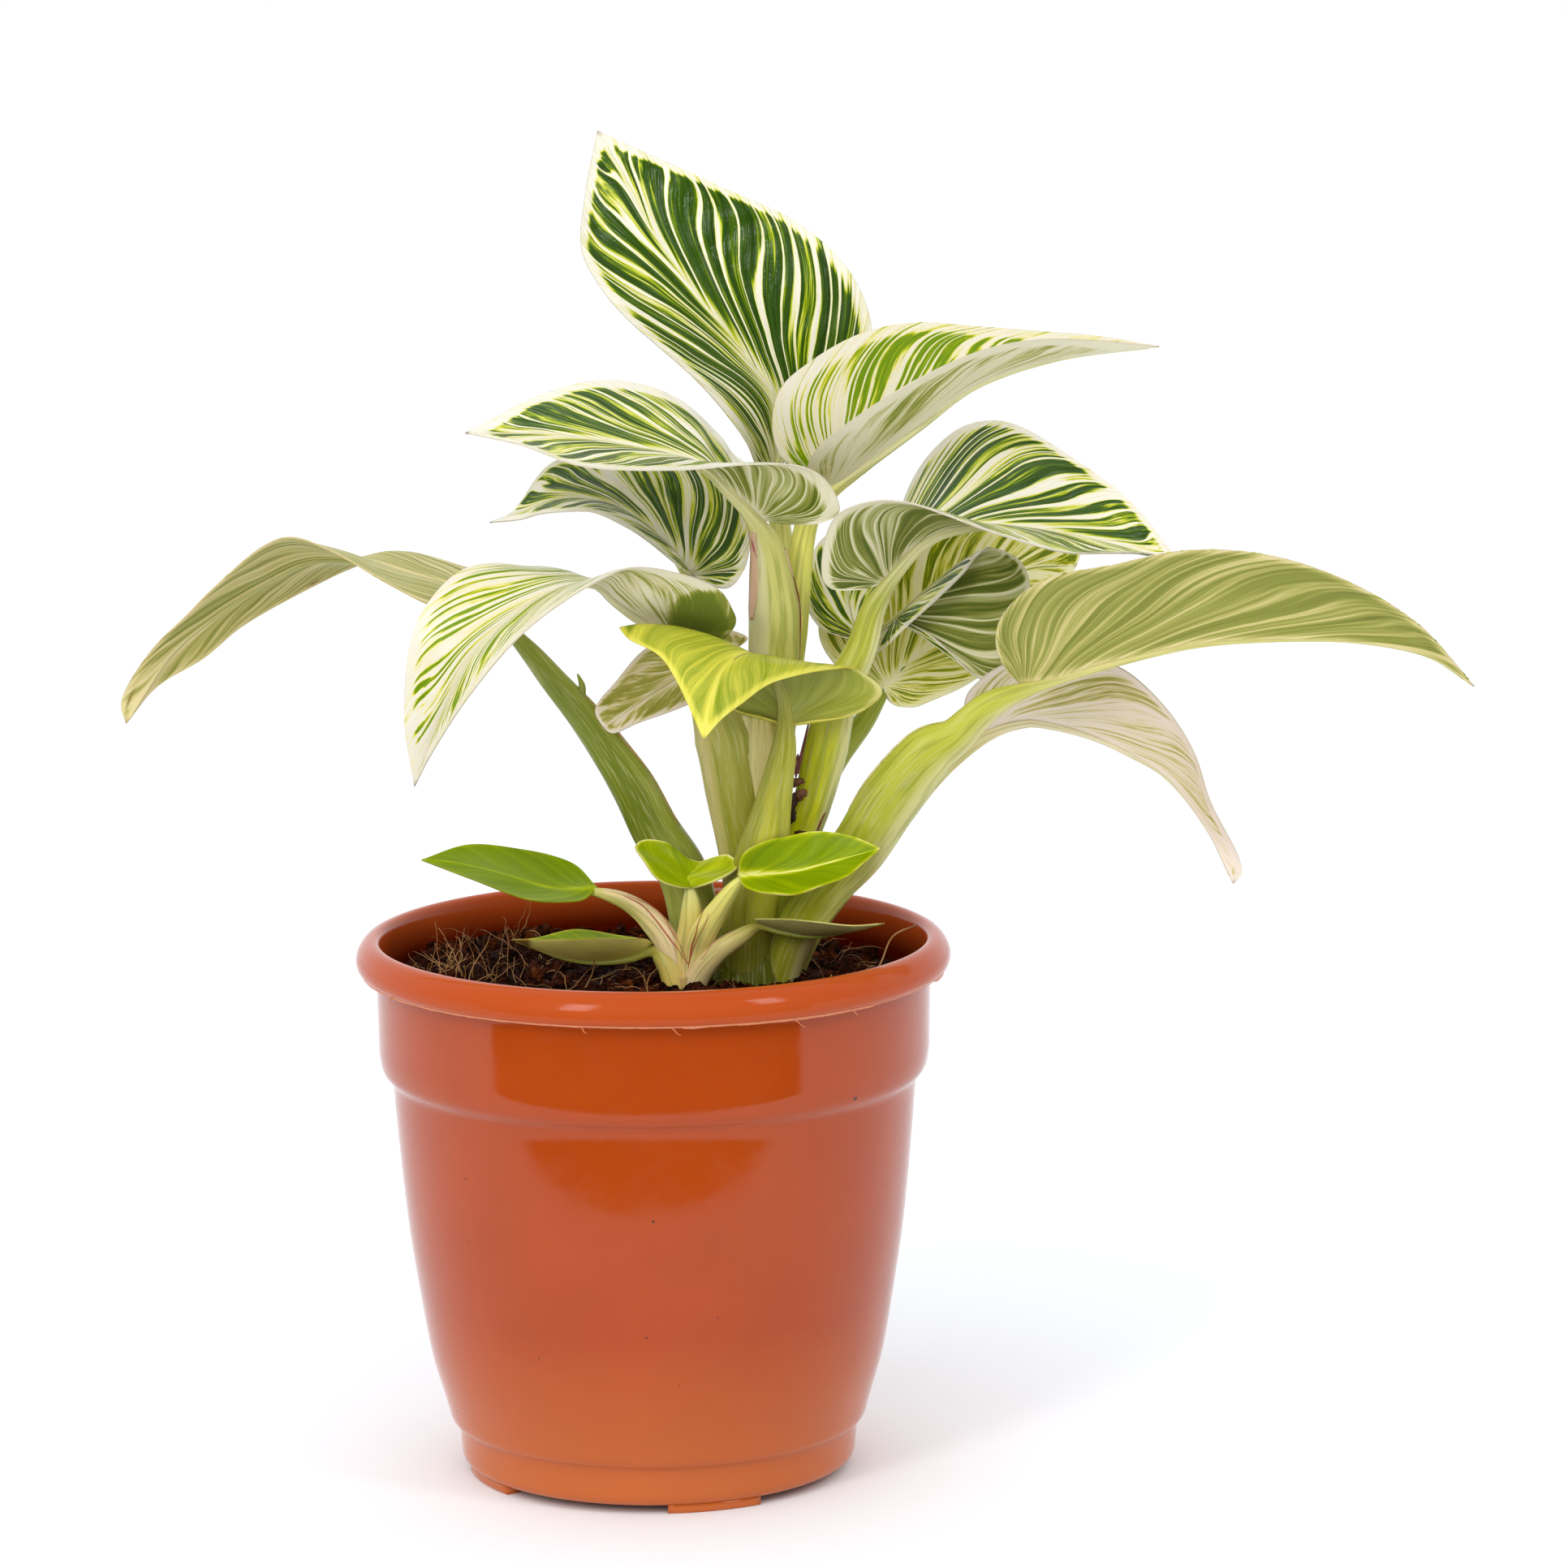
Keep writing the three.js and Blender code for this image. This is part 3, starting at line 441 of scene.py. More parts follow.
specks = add(tree, "ShaderNodeTexNoise", {"Vector": where, "Scale": 320, "Detail": 1})
speck_mask = add(tree, "ShaderNodeMapRange",
                 {"Value": specks.outputs["Fac"], "From Min": 0.80, "From Max": 0.82})
speckled = add(tree, "ShaderNodeMix", {0: speck_mask.outputs["Result"], 6: dusty_and_painted_light.outputs[2],
                                       7: linear("4a2513")}, data_type="RGBA")

on_rim = add(tree, "ShaderNodeMapRange",
             {"Value": height, "From Min": 0.1195, "From Max": 0.1210}).outputs["Result"]
worn_rim = add(tree, "ShaderNodeMix", {0: on_rim, 6: speckled.outputs[2], 7: linear("b24a1c")},
               data_type="RGBA")
# Painted shade: inside, above the mix, the wall darkens to a deep red from the rim down, where the rim and
# the leaves shade it.
inside_painted_shade = add(tree, "ShaderNodeAttribute", attribute_name="inner").outputs["Fac"]
shaded_inside = add(tree, "ShaderNodeMix", {0: inside_painted_shade, 6: worn_rim.outputs[2],
                                            7: linear("5a1200")}, data_type="RGBA")
tree.links.new(shaded_inside.outputs[2], shader.inputs["Base Color"])

# %% Gloss, scuffs and waviness of the moulded skin
rim_shine = add(tree, "ShaderNodeMapRange", {"Value": on_rim, "To Min": 0.45, "To Max": 0.2})
tree.links.new(rim_shine.outputs["Result"], shader.inputs["Specular IOR Level"])
scuffs = add(tree, "ShaderNodeTexNoise", {"Vector": where, "Scale": 150, "Detail": 5,
                                          "Roughness": 0.7, "Distortion": 1.5})
sharpness = add(tree, "ShaderNodeMapRange", {"Value": scuffs.outputs["Fac"], "From Min": 0.4,
                                             "From Max": 0.75, "To Min": 0.08, "To Max": 0.2})
tree.links.new(sharpness.outputs["Result"], shader.inputs["Roughness"])
waves = add(tree, "ShaderNodeTexNoise", {"Vector": where, "Scale": 33, "Detail": 1})
flow = add(tree, "ShaderNodeTexNoise", {"Vector": where, "Scale": 330})
wavy = add(tree, "ShaderNodeBump",
           {"Height": waves.outputs["Fac"], "Strength": 0.12, "Distance": 0.0006})
grainy = add(tree, "ShaderNodeBump", {"Height": flow.outputs["Fac"], "Strength": 0.05,
                                      "Distance": 0.0002, "Normal": wavy.outputs["Normal"]})
tree.links.new(grainy.outputs["Normal"], shader.inputs["Normal"])
print("pot plastic:", len(tree.nodes), "nodes")

# %% Turn the pot and stand it on its four tabs
FOOT_TABS = [17, 107, 200, 293]       # degrees from the front, towards +X
FOOT_SWEEP = 29
# The painted shade inside the pot begins at SHADE_TOP and is full SHADE_DEPTH below it.
SHADE_TOP, SHADE_DEPTH = 125, 6       # mm: the inside darkens from the rim down
INSIDE_FLOOR, INSIDE_RADIUS = 99, 64.3


def arc_block(middle, sweep, radii, heights, steps=14, soften=0.35):
    near, far = radii
    low, high = heights
    section = [(near, high), (near, low + soften), (near + soften, low),
               (far - soften, low), (far, low + soften), (far, high)]
    angles = np.radians(middle - 90 + sweep * (np.arange(steps + 1) / steps - 0.5))
    points = [round_axis(r, a, z) for a in angles for r, z in section]
    n = len(section)
    faces = [(i * n + j, i * n + (j + 1) % n, (i + 1) * n + (j + 1) % n, (i + 1) * n + j)
             for i in range(steps) for j in range(n)]
    faces.append(tuple(range(n - 1, -1, -1)))
    faces.append(tuple(range(steps * n, steps * n + n)))
    return np.array(points), [face[::-1] for face in faces]


pot_parts = [turn(pot_outline(), POT_SEGMENTS)]
pot_parts += [arc_block(angle, FOOT_SWEEP, (40.6, 45.2), (0.0, 2.6)) for angle in FOOT_TABS]
pot_points, pot_faces = gather(pot_parts)
pot = make_mesh("moulded_pot", pot_points, pot_faces, [pot_plastic])
from_axis, level = np.linalg.norm(pot_points[:, :2], axis=1), pot_points[:, 2]
point_values(pot, "inner", np.clip((SHADE_TOP - level) / SHADE_DEPTH, 0, 1)
             * (level > INSIDE_FLOOR) * (from_axis < INSIDE_RADIUS))
place(pot, "terracotta_plastic", "pot")
print("pot:", len(pot.data.polygons), "faces")

# %% [markdown]
# Flash. Where the two halves of the mould meet, under the rolled rim, a thin
# feather of plastic is squeezed out and tears off unevenly. It is the small
# ragged pale line under the rim, and it says "cheap moulded pot" from afar. It
# is made as a closed ribbon whose lower edge follows a seeded random walk, with
# a few loose curls.

# %% Ragged moulding flash
torn_plastic, *_ = new_material(
    "torn_polypropylene_edge", Base_Color=linear("cf7d55"), Roughness=0.45, IOR=1.49,
    Subsurface_Weight=0.15, Subsurface_Scale=0.001)

FLASH_STEPS = 720
CURLS = ((3, 2.4), (27, 3.4), (-14, 1.6), (41, 1.5), (-62, 1.8), (140, 2.2))   # degrees, mm
CURL_BENDS = ((68.6, 0, 120.6, 0), (69.0, 0.3, 120.2, 0),     # radius, share of the length,
              (69.4, 0.7, 119.9, 0.3), (69.2, 1, 120.1, 0.5))  # height and share that it drops
dice = random.Random(11)
ragged, drop, pull = [], 0.25, 0.25
for _ in range(FLASH_STEPS):
    if dice.random() < 0.07:
        pull = dice.choice((0.08, 0.15, 0.3, 0.5, 0.75))
    drop += (pull - drop) * 0.35 + dice.uniform(-0.05, 0.05)
    ragged.append(max(0.05, drop))
points, faces = [], []
for i, depth in enumerate(ragged):
    a = 2 * math.pi * i / FLASH_STEPS
    for r, z in ((68.0, 120.9), (68.3, 120.6 - depth), (68.75, 120.7 - depth), (68.8, 120.9)):
        points.append(round_axis(r, a, z))
for i in range(FLASH_STEPS):
    k = (i + 1) % FLASH_STEPS
    faces += [(4 * i + j, 4 * k + j, 4 * k + (j + 1) % 4, 4 * i + (j + 1) % 4) for j in range(4)]
flash_parts = [(np.array(points), faces)]
for angle, curl in CURLS:
    a = math.radians(angle - 90)
    out, sideways = np.array([math.cos(a), math.sin(a), 0]), np.array([-math.sin(a), math.cos(a), 0])
    bend = [r * out + sideways * curl * share + (0, 0, z - fall * curl)
            for r, share, z, fall in CURL_BENDS]
    flash_parts.append(tapered(bend, 12, 0.16, 0.07, 5))
flash = make_mesh("moulding_flash", *gather(flash_parts), [torn_plastic])
place(flash, "terracotta_plastic")
print("flash:", len(flash.data.polygons), "faces")

# %% [markdown]
# Potting mix. A peat and coir mix is not a surface but a heap: crumbs from dust
# up to pea size, dark where moist and reddish where a fibre bundle shows, with
# tan coir hairs sticking out. A bumpy sheet alone looks like cloth, so the sheet
# only carries the broad unevenness and small crumbs lie on it as real lumps.

# %% Moist peat and coir
potting_mix, tree, shader = new_material(
    "moist_peat_and_coir_crumbs", Roughness=0.85, Specular_IOR_Level=0.05)
where = add(tree, "ShaderNodeTexCoord").outputs["Object"]
crumb_tones = add(tree, "ShaderNodeTexNoise",
                  {"Vector": where, "Scale": 420, "Detail": 4, "Roughness": 0.7})
patches = add(tree, "ShaderNodeTexNoise", {"Vector": where, "Scale": 70})
mostly_crumbs = add(tree, "ShaderNodeMath", {0: crumb_tones.outputs["Fac"], 1: 0.62},
                    operation="MULTIPLY")
mixed = add(tree, "ShaderNodeMath", {0: patches.outputs["Fac"], 1: 0.38,
                                     2: mostly_crumbs.outputs[0]}, operation="MULTIPLY_ADD")
earth = add(tree, "ShaderNodeValToRGB", {"Fac": mixed.outputs[0]})
set_stops(earth, [(0.36, "0d0402"), (0.46, "1d0a04"), (0.54, "381608"), (0.62, "5c2b11"),
                  (0.70, "8c5528")])
tree.links.new(earth.outputs["Color"], shader.inputs["Base Color"])
rubble = add(tree, "ShaderNodeBump",
             {"Height": crumb_tones.outputs["Fac"], "Strength": 0.7, "Distance": 0.0006})
tree.links.new(rubble.outputs["Normal"], shader.inputs["Normal"])
print("potting mix:", len(tree.nodes), "nodes")

# %% Soil sheet, closed down to the base of the pot
SOIL_LEVEL, SOIL_EDGE = 117.0, 62.2
RINGS, SPOKES = 62, 150
EDGE_DIP = 2.0                      # mm by which the mix sinks where it meets the pot
SOIL_BELOW = ((62.0, 104.0), (60.0, 97.2), (54.2, 45.2), (46.0, 13.4), (43.5, 6.4))


def soil_height(x, y):
    heap = 3.0 * math.exp(-(((x + 45) / 22) ** 2))
    broad = 1.5 * noise.noise(Vector((x / 14, y / 14, 3)))
    lumps = 1.5 * noise.noise(Vector((x / 4.5, y / 4.5, 7)))
    grains = 0.7 * noise.noise(Vector((x / 1.6, y / 1.6, 1)))
    return SOIL_LEVEL - 0.6 + heap + broad + lumps + grains


points, faces = [(0, 0, soil_height(0, 0))], []
for i in range(1, RINGS + 1):
    for j in range(SPOKES):
        x, y, _ = round_axis(SOIL_EDGE * i / RINGS, 2 * math.pi * (j + 0.5 * (i % 2)) / SPOKES, 0)
        points.append((x, y, soil_height(x, y) - (EDGE_DIP if i == RINGS else 0.0)))
for r, z in SOIL_BELOW:
    points += [round_axis(r, 2 * math.pi * j / SPOKES, z) for j in range(SPOKES)]
points.append((0, 0, SOIL_BELOW[-1][1]))
rings = RINGS + len(SOIL_BELOW)
for j in range(SPOKES):
    k = (j + 1) % SPOKES
    faces.append((0, 1 + j, 1 + k))
    for i in range(rings - 1):
        a, b = 1 + i * SPOKES, 1 + (i + 1) * SPOKES
        faces.append((a + j, b + j, b + k, a + k))
    last = 1 + (rings - 1) * SPOKES
    faces.append((len(points) - 1, last + k, last + j))
soil = make_mesh("potting_mix", points, faces, [potting_mix])
place(soil, "potting_mix", "potting_soil")
print("soil sheet:", len(soil.data.polygons), "faces")

# %% Loose crumbs
MIX_REACH = 61.5                    # mm from the axis: nothing loose may lie further out
CRUMB_SPREAD, HAIR_SPREAD = 60.8, 58


def unit_lump(subdivisions):
    lump = bmesh.new()
    bmesh.ops.create_icosphere(lump, subdivisions=subdivisions, radius=1.0)
    shape = (np.array([v.co[:] for v in lump.verts]),
             [tuple(v.index for v in f.verts) for f in lump.faces])
    lump.free()
    return shape


def spot_on_mix(spread):
    x, y, _ = round_axis(spread * math.sqrt(dice.random()), dice.uniform(0, 2 * math.pi), 0)
    return x, y


def crumb(size, shape, roughness=0.8):
    corners, faces = shape
    x, y = spot_on_mix(CRUMB_SPREAD)
    if math.hypot(x, y) + size > MIX_REACH:
        return []
    stretch = [dice.uniform(0.6, 1.6), dice.uniform(0.6, 1.3), dice.uniform(0.5, 1.0)]
    phase = Vector([dice.uniform(0, 50) for _ in range(3)])
    bumps = np.array([1 + roughness * noise.noise(Vector(p) * 1.6 + phase)
                      + 0.6 * roughness * noise.noise(Vector(p) * 4.3 + phase) for p in corners])
    turned = np.array(Matrix.Rotation(dice.uniform(0, math.pi), 3, "Z")
                      @ Matrix.Rotation(dice.uniform(-0.7, 0.7), 3, "X"))
    shaped = (corners * bumps[:, None] * stretch * size) @ turned.T
    return [(shaped + (x, y, soil_height(x, y) + 0.3 * size), faces)]


dice = random.Random(23)
fine, coarse = unit_lump(1), unit_lump(2)
crumb_parts = []
for _ in range(520):
    crumb_parts += crumb(0.9 + 1.5 * dice.random() ** 2.6, coarse)
for _ in range(5200):
    crumb_parts += crumb(dice.uniform(0.22, 0.75), fine, 1.0)
crumbs = make_mesh("loose_crumbs", *gather(crumb_parts), [potting_mix], flat_faces=True)
place(crumbs, "potting_mix")
print("crumbs:", len(crumb_parts), "with", len(crumbs.data.polygons), "faces")

# %% [markdown]
# Coir hairs are coconut fibre: stiff, tan, a fifth of a millimetre thick and
# kinked at random. Each one is a short random walk, smoothed. A tuft stands up
# at the left, as it does where a clump of fibre was pressed in by hand, and one
# long root thread lies across at the right.

# %% Coir hairs and a root thread
coir, tree, shader = new_material("coir_hair", Roughness=0.55)
where = add(tree, "ShaderNodeTexCoord").outputs["Object"]
tone = add(tree, "ShaderNodeTexNoise", {"Vector": where, "Scale": 90})
tan = add(tree, "ShaderNodeValToRGB", {"Fac": tone.outputs["Fac"]})
set_stops(tan, [(0.3, "5a3416"), (0.5, "946634"), (0.7, "bb9158")])
tree.links.new(tan.outputs["Color"], shader.inputs["Base Color"])

KINKS = 6
TUFT = (-45, -8)                    # where a clump of fibre was pressed in


def hair(start, heading, length, width, kink, sink=0.0):
    spot, way = np.array(start, float), unit(np.array(heading, float))
    walk = [spot.copy()]
    for _ in range(KINKS):
        way = unit(way + kink * np.array([dice.uniform(-1, 1) for _ in range(3)])
                   - np.array([0, 0, sink]))
        spot = spot + way * length / KINKS
        if math.hypot(spot[0], spot[1]) > MIX_REACH:
            spot[:2] *= MIX_REACH / math.hypot(spot[0], spot[1])
        walk.append(spot.copy())
    return tapered(walk, 14, width, width * 0.4, 4)


dice = random.Random(5)
hairs = []
for _ in range(260):
    x, y = spot_on_mix(HAIR_SPREAD)
    lift = dice.uniform(0.1, 0.5)
    hairs.append(hair((x, y, soil_height(x, y) + 0.5),
                      (dice.uniform(-1, 1), dice.uniform(-1, 1), lift),
                      dice.uniform(5, 14), dice.uniform(0.08, 0.17), 0.5, 0.12))
for _ in range(26):
    x, y = TUFT[0] + dice.gauss(0, 4.5), TUFT[1] + dice.gauss(0, 6)
    hairs.append(hair((x, y, soil_height(x, y)),
                      (dice.uniform(-0.6, 0.7), dice.uniform(-0.5, 0.5), 1.3),
                      dice.uniform(7, 16), dice.uniform(0.09, 0.16), 0.35))
root_line = [(62, -6, 131), (56, -10, 129), (52, -14, 122), (44, -18, 119.6), (34, -22, 118.8),
             (26, -25, 119.4), (22, -27, 118.4)]
hairs.append(tapered(root_line, 40, 0.24, 0.16, 5))
root_end = [(36, -38, 118), (38, -39, 121), (40, -39, 124), (41, -38, 126)]
hairs.append(tapered(root_end, 16, 0.22, 0.12, 5))
coir_hairs = make_mesh("coir_hairs", *gather(hairs), [coir])
place(coir_hairs, "potting_mix")
print("hairs:", len(hairs))

# %% [markdown]
# Leaves. Each blade is three curves: the midrib and the two margins, all running
# from the stalk to the tip. "Left" is the side on the left when the upper face
# is seen with the tip up. A vein leaves the rib, sweeps forward and ends on the
# margin, and the blade is the sheet that all those veins span. Lobe says how
# much of the margin belongs to the rounded lobes beside the stalk, lead how far
# the veins sweep forward, and belly how far each half bulges.
# All three start at the stalk and end at the tip, so those two points stand only
# in the list of the rib.

# %% Large blades of the main plant
BIG_LEAVES = {
    "leaf_top_upright": dict(
        rib=[(30, 22, 233), (31, 26, 250), (24, 28, 261), (12, 31, 276), (2, 34, 290), (-4, 37, 302),
            (-11, 40, 314)],
        left=[(27, 19, 233), (25, 16, 238), (23, 14, 243), (13, 14, 256), (-5, 20, 272), (-11, 24, 279),
            (-15, 27, 287), (-14, 32, 300)],
        right=[(36, 18, 232), (41, 16, 237), (48, 17, 251), (53, 19, 266), (49, 23, 280), (37, 29, 292),
            (18, 34, 301), (0, 38, 309)],
        lobe=0.1, lead=0.3, belly=(-0.06, -0.06), fan=0.001),
    "leaf_top_right": dict(
        rib=[(40, 4, 233), (45, 3, 235), (50, 2, 239), (63, 2, 248), (76, 2, 257), (95, 2, 263),
            (119, 0, 266)],
        left=[(36, 4, 237), (31, 2, 241), (29, 1, 249), (31, 1, 257), (38, 3, 263), (50, 7, 269),
            (63, 10, 271), (76, 11, 270), (91, 8, 269), (106, 4, 268)],
        right=[(37, -4, 238), (39, -10, 244), (48, -15, 252), (62, -18, 261), (76, -16, 267),
            (89, -11, 269), (104, -4, 268)],
        lobe=0.1, lead=0.2, belly=(-0.08, 0.02)),
    "leaf_upper_left": dict(
        rib=[(27, -4, 227), (23, -5, 231), (19, -7, 235), (14, -8, 240), (6, -8, 243), (-3, -8, 245),
            (-20, -9, 248), (-42, -12, 249)],
        left=[(33, -8, 227), (39, -12, 227), (44, -15, 230), (41, -20, 238), (35, -24, 242),
            (24, -27, 243), (7, -28, 242), (-15, -27, 243), (-29, -20, 247)],
        right=[(29, 0, 232), (26, 3, 237), (20, 6, 241), (17, 8, 245), (6, 13, 254), (-9, 12, 258),
            (-24, 4, 256), (-39, -9, 250)],
        lobe=0.14, lead=0.2, belly=(-0.08, -0.02)),
    "leaf_upper_left_rear": dict(
        rib=[(10, 8, 212), (7, 8, 217), (3, 8, 221), (-3, 7, 226), (-11, 6, 230), (-21, 5, 231),
            (-30, 4, 228), (-37, 3, 226)],
        left=[(7, 3, 215), (0, -4, 222), (-5, -8, 226), (-13, -10, 230), (-19, -9, 230), (-25, -5, 229),
            (-30, 0, 227)],
        right=[(18, 9, 209), (22, 13, 212), (24, 20, 220), (22, 25, 229), (14, 28, 236), (4, 28, 240),
            (-7, 25, 241), (-23, 15, 238), (-32, 5, 228)],
        lobe=0.14, lead=0.2, belly=(0.12, -0.05)),
    "leaf_far_left": dict(
        rib=[(-31, 6, 200), (-38, 8, 206), (-46, 10, 210), (-57, 12, 213), (-68, 13, 216), (-79, 13, 216),
            (-90, 12, 211), (-101, 10, 204), (-112, 8, 195), (-123, 5, 179)],
        left=[(-38, -2, 202), (-45, -8, 206), (-53, -12, 210), (-62, -12, 215), (-73, -8, 221),
            (-83, -4, 224), (-89, -2, 222), (-100, 0, 213), (-108, 2, 205), (-117, 3, 196),
            (-124, 5, 184)],
        right=[(-31, 18, 205), (-38, 26, 210), (-45, 30, 212), (-59, 33, 215), (-70, 29, 212),
            (-80, 24, 208), (-96, 17, 200), (-105, 14, 193), (-116, 9, 187)],
        lobe=0.08, lead=0.25, belly=(0.04, 0.04)),
    "leaf_mid_left": dict(
        rib=[(9, -4, 199), (4, -6, 201), (-2, -8, 205), (-8, -11, 210), (-12, -14, 214), (-19, -17, 214),
            (-31, -19, 208), (-41, -20, 199), (-48, -19, 185), (-55, -16, 167)],
        left=[(16, -7, 199), (20, -12, 204), (19, -15, 208), (16, -20, 213), (9, -25, 217), (-4, -31, 220),
            (-12, -32, 217), (-28, -31, 206), (-41, -28, 191), (-51, -20, 175)],
        right=[(7, 4, 203), (1, 8, 207), (-6, 8, 210), (-12, 5, 212), (-27, -3, 216), (-37, -8, 218),
            (-45, -12, 216), (-54, -17, 205), (-57, -18, 184)],
        lobe=0.14, lead=0.2, belly=(-0.05, 0.05)),
    "leaf_front_lime": dict(
        rib=[(32, -13, 180), (31, -11, 186), (28, -14, 193), (23, -20, 198), (18, -28, 197),
            (14, -37, 191), (12, -43, 182)],
        left=[(37, -14, 181), (46, -13, 182), (51, -11, 184), (54, -7, 187), (48, -7, 192), (42, -13, 193),
            (34, -21, 193), (27, -28, 192), (21, -35, 189), (16, -40, 186)],
        right=[(25, -12, 182), (20, -10, 183), (11, -8, 188), (2, -9, 197), (-5, -13, 202), (-7, -17, 204),
            (-5, -21, 202), (2, -27, 199), (6, -33, 194)],
        lobe=0.22, lead=0.15, belly=(0.12, 0.14)),
    "leaf_inner_left": dict(
        rib=[(20, 7, 195), (13, 6, 193), (5, 4, 188), (-3, 1, 183), (-11, -3, 178)],
        left=[(23, 9, 197), (18, 10, 199), (8, 10, 198), (-1, 8, 195), (-8, 4, 188), (-13, -1, 182)],
        right=[(21, 5, 191), (16, 3, 186), (7, 1, 182), (-3, -2, 179), (-9, -4, 177)],
        lobe=0.12, lead=0.2, belly=(-0.05, -0.05)),
    "leaf_upper_right": dict(
        rib=[(54, 2, 211), (57, 2, 214), (60, 2, 218), (66, 2, 222), (74, 3, 224), (83, 4, 224),
            (101, 5, 221), (124, 2, 215)],
        left=[(58, 8, 213), (59, 14, 220), (60, 20, 227), (66, 27, 237), (75, 30, 244), (85, 29, 245),
            (102, 22, 236), (114, 14, 227)],
        right=[(49, -2, 210), (42, -6, 211), (40, -9, 215), (43, -16, 229), (51, -19, 233), (59, -20, 233),
            (68, -20, 230), (78, -19, 226), (96, -14, 220), (106, -9, 219), (116, -3, 218)],
        lobe=0.14, lead=0.22, belly=(-0.04, -0.06)),
    "leaf_inner_right": dict(
        rib=[(50, 12, 196), (48, 13, 200), (47, 15, 207), (49, 18, 212), (58, 26, 220)],
        left=[(44, 12, 197), (40, 12, 199), (37, 13, 204), (38, 19, 214), (42, 24, 219), (50, 27, 221)],
        right=[(53, 11, 197), (55, 12, 202), (56, 15, 209), (59, 21, 217)],
        lobe=0.14, lead=0.2, belly=(-0.05, -0.05)),
    "leaf_mid_right": dict(
        rib=[(58, 12, 201), (62, 13, 205), (67, 14, 209), (74, 16, 214), (80, 17, 217)],
        left=[(65, 9, 198), (71, 8, 193), (78, 7, 187), (84, 9, 189), (87, 13, 197), (90, 16, 206),
            (88, 16, 213), (84, 16, 216)],
        right=[(54, 10, 197), (52, 9, 193), (55, 6, 195), (60, 5, 200), (67, 6, 206), (74, 10, 212),
            (77, 14, 215)],
        lobe=0.4, lead=0.12, belly=(0.03, 0.02)),
    "leaf_rear_right": dict(
        rib=[(55, 14, 184), (60, 20, 188), (67, 26, 193), (77, 36, 200), (90, 46, 207), (103, 52, 207)],
        left=[(49, 14, 185), (44, 16, 189), (40, 21, 196), (43, 27, 208), (52, 33, 216), (64, 38, 220),
            (78, 44, 220), (92, 49, 218), (104, 53, 211)],
        right=[(57, 15, 180), (62, 16, 179), (67, 20, 180), (76, 26, 183), (87, 35, 190), (97, 44, 199)],
        lobe=0.12, lead=0.2, belly=(-0.05, -0.05)),
    "leaf_far_right": dict(
        rib=[(86, -12, 189), (93, -14, 190), (98, -15, 192), (112, -17, 196), (127, -18, 199),
            (146, -19, 200), (165, -19, 199), (181, -18, 195), (191, -17, 188)],
        left=[(85, -3, 196), (93, 6, 201), (105, 9, 204), (120, 10, 208), (137, 8, 209), (152, 3, 207),
            (167, -4, 203), (179, -11, 196)],
        right=[(83, -14, 192), (80, -18, 199), (81, -21, 206), (90, -25, 215), (107, -27, 219),
            (121, -28, 222), (135, -28, 222), (149, -27, 219), (165, -25, 212), (178, -22, 203),
            (187, -19, 193)],
        lobe=0.1, lead=0.25, belly=(-0.03, 0.08)),
    "leaf_low_right": dict(
        rib=[(77, 8, 174), (86, 8, 177), (95, 8, 176), (105, 7, 173), (113, 6, 169), (121, 5, 164),
            (131, 4, 151), (137, 3, 138)],
        left=[(80, 20, 176), (91, 28, 179), (104, 28, 177), (115, 24, 171), (125, 18, 164), (135, 5, 145)],
        right=[(74, 4, 179), (74, 1, 184), (77, -1, 188), (83, -2, 192), (102, -3, 193), (110, -4, 191),
            (120, -4, 182), (127, -3, 171), (131, -1, 159), (139, 3, 141)],
        lobe=0.1, lead=0.2, belly=(-0.03, 0.1)),
}
print("large blades:", len(BIG_LEAVES))

# %% Blades of the side shoots
SMALL_LEAVES = {
    "pup_leaf_left": dict(
        rib=[(-13, -2, 140), (-23, -3, 140), (-35, -5, 144), (-46, -6, 147), (-54, -7, 148)],
        left=[(-16, -6, 138), (-21, -9, 138), (-29, -11, 139), (-42, -11, 144)],
        right=[(-18, 5, 144), (-23, 6, 146), (-31, 5, 148), (-43, 1, 150)],
        lobe=0.03, lead=0.2, belly=(-0.1, -0.1)),
    "pup_leaf_middle": dict(
        rib=[(9, -9, 141), (8, -8, 143), (9, -6, 144), (11, -3, 146)],
        left=[(5, -12, 142), (1, -13, 144), (-2, -12, 148), (-4, -9, 151), (-2, -6, 152), (3, -4, 151),
            (8, -3, 147)],
        right=[(12, -11, 142), (17, -11, 144), (20, -8, 146), (18, -5, 148), (14, -3, 147)],
        lobe=0.08, lead=0.1, belly=(-0.05, -0.12)),
    "pup_leaf_right": dict(
        rib=[(20, -14, 145), (32, -17, 146), (43, -19, 149), (53, -20, 152)],
        left=[(21, -15, 150), (26, -15, 153), (31, -15, 154), (37, -14, 155), (43, -16, 155),
            (48, -18, 154)],
        right=[(21, -17, 143), (24, -20, 142), (28, -23, 142), (33, -24, 142), (39, -24, 144),
            (45, -23, 146), (49, -22, 149)],
        lobe=0.04, lead=0.2, belly=(-0.08, -0.08)),
    "pup_leaf_low_left": dict(
        rib=[(0, -4, 127), (-4, -6, 125), (-12, -9, 124), (-20, -11, 125), (-33, -13, 130)],
        left=[(-2, -9, 129), (-6, -14, 130), (-12, -18, 131), (-20, -19, 131)],
        right=[(-2, 0, 127), (-8, 5, 127), (-18, 3, 129), (-28, -7, 129)],
        lobe=0.03, lead=0.15, belly=(-0.08, -0.12)),
    "pup_leaf_low_right": dict(
        rib=[(24, -8, 133), (30, -10, 131), (37, -12, 130), (45, -13, 131), (54, -14, 133)],
        left=[(27, -2, 131), (32, 1, 130), (40, 1, 130), (47, -3, 130)],
        right=[(24, -12, 134), (32, -18, 135), (39, -22, 135), (46, -21, 134)],
        lobe=0.03, lead=0.15, belly=(-0.05, -0.1)),
}
print("small blades:", len(SMALL_LEAVES))

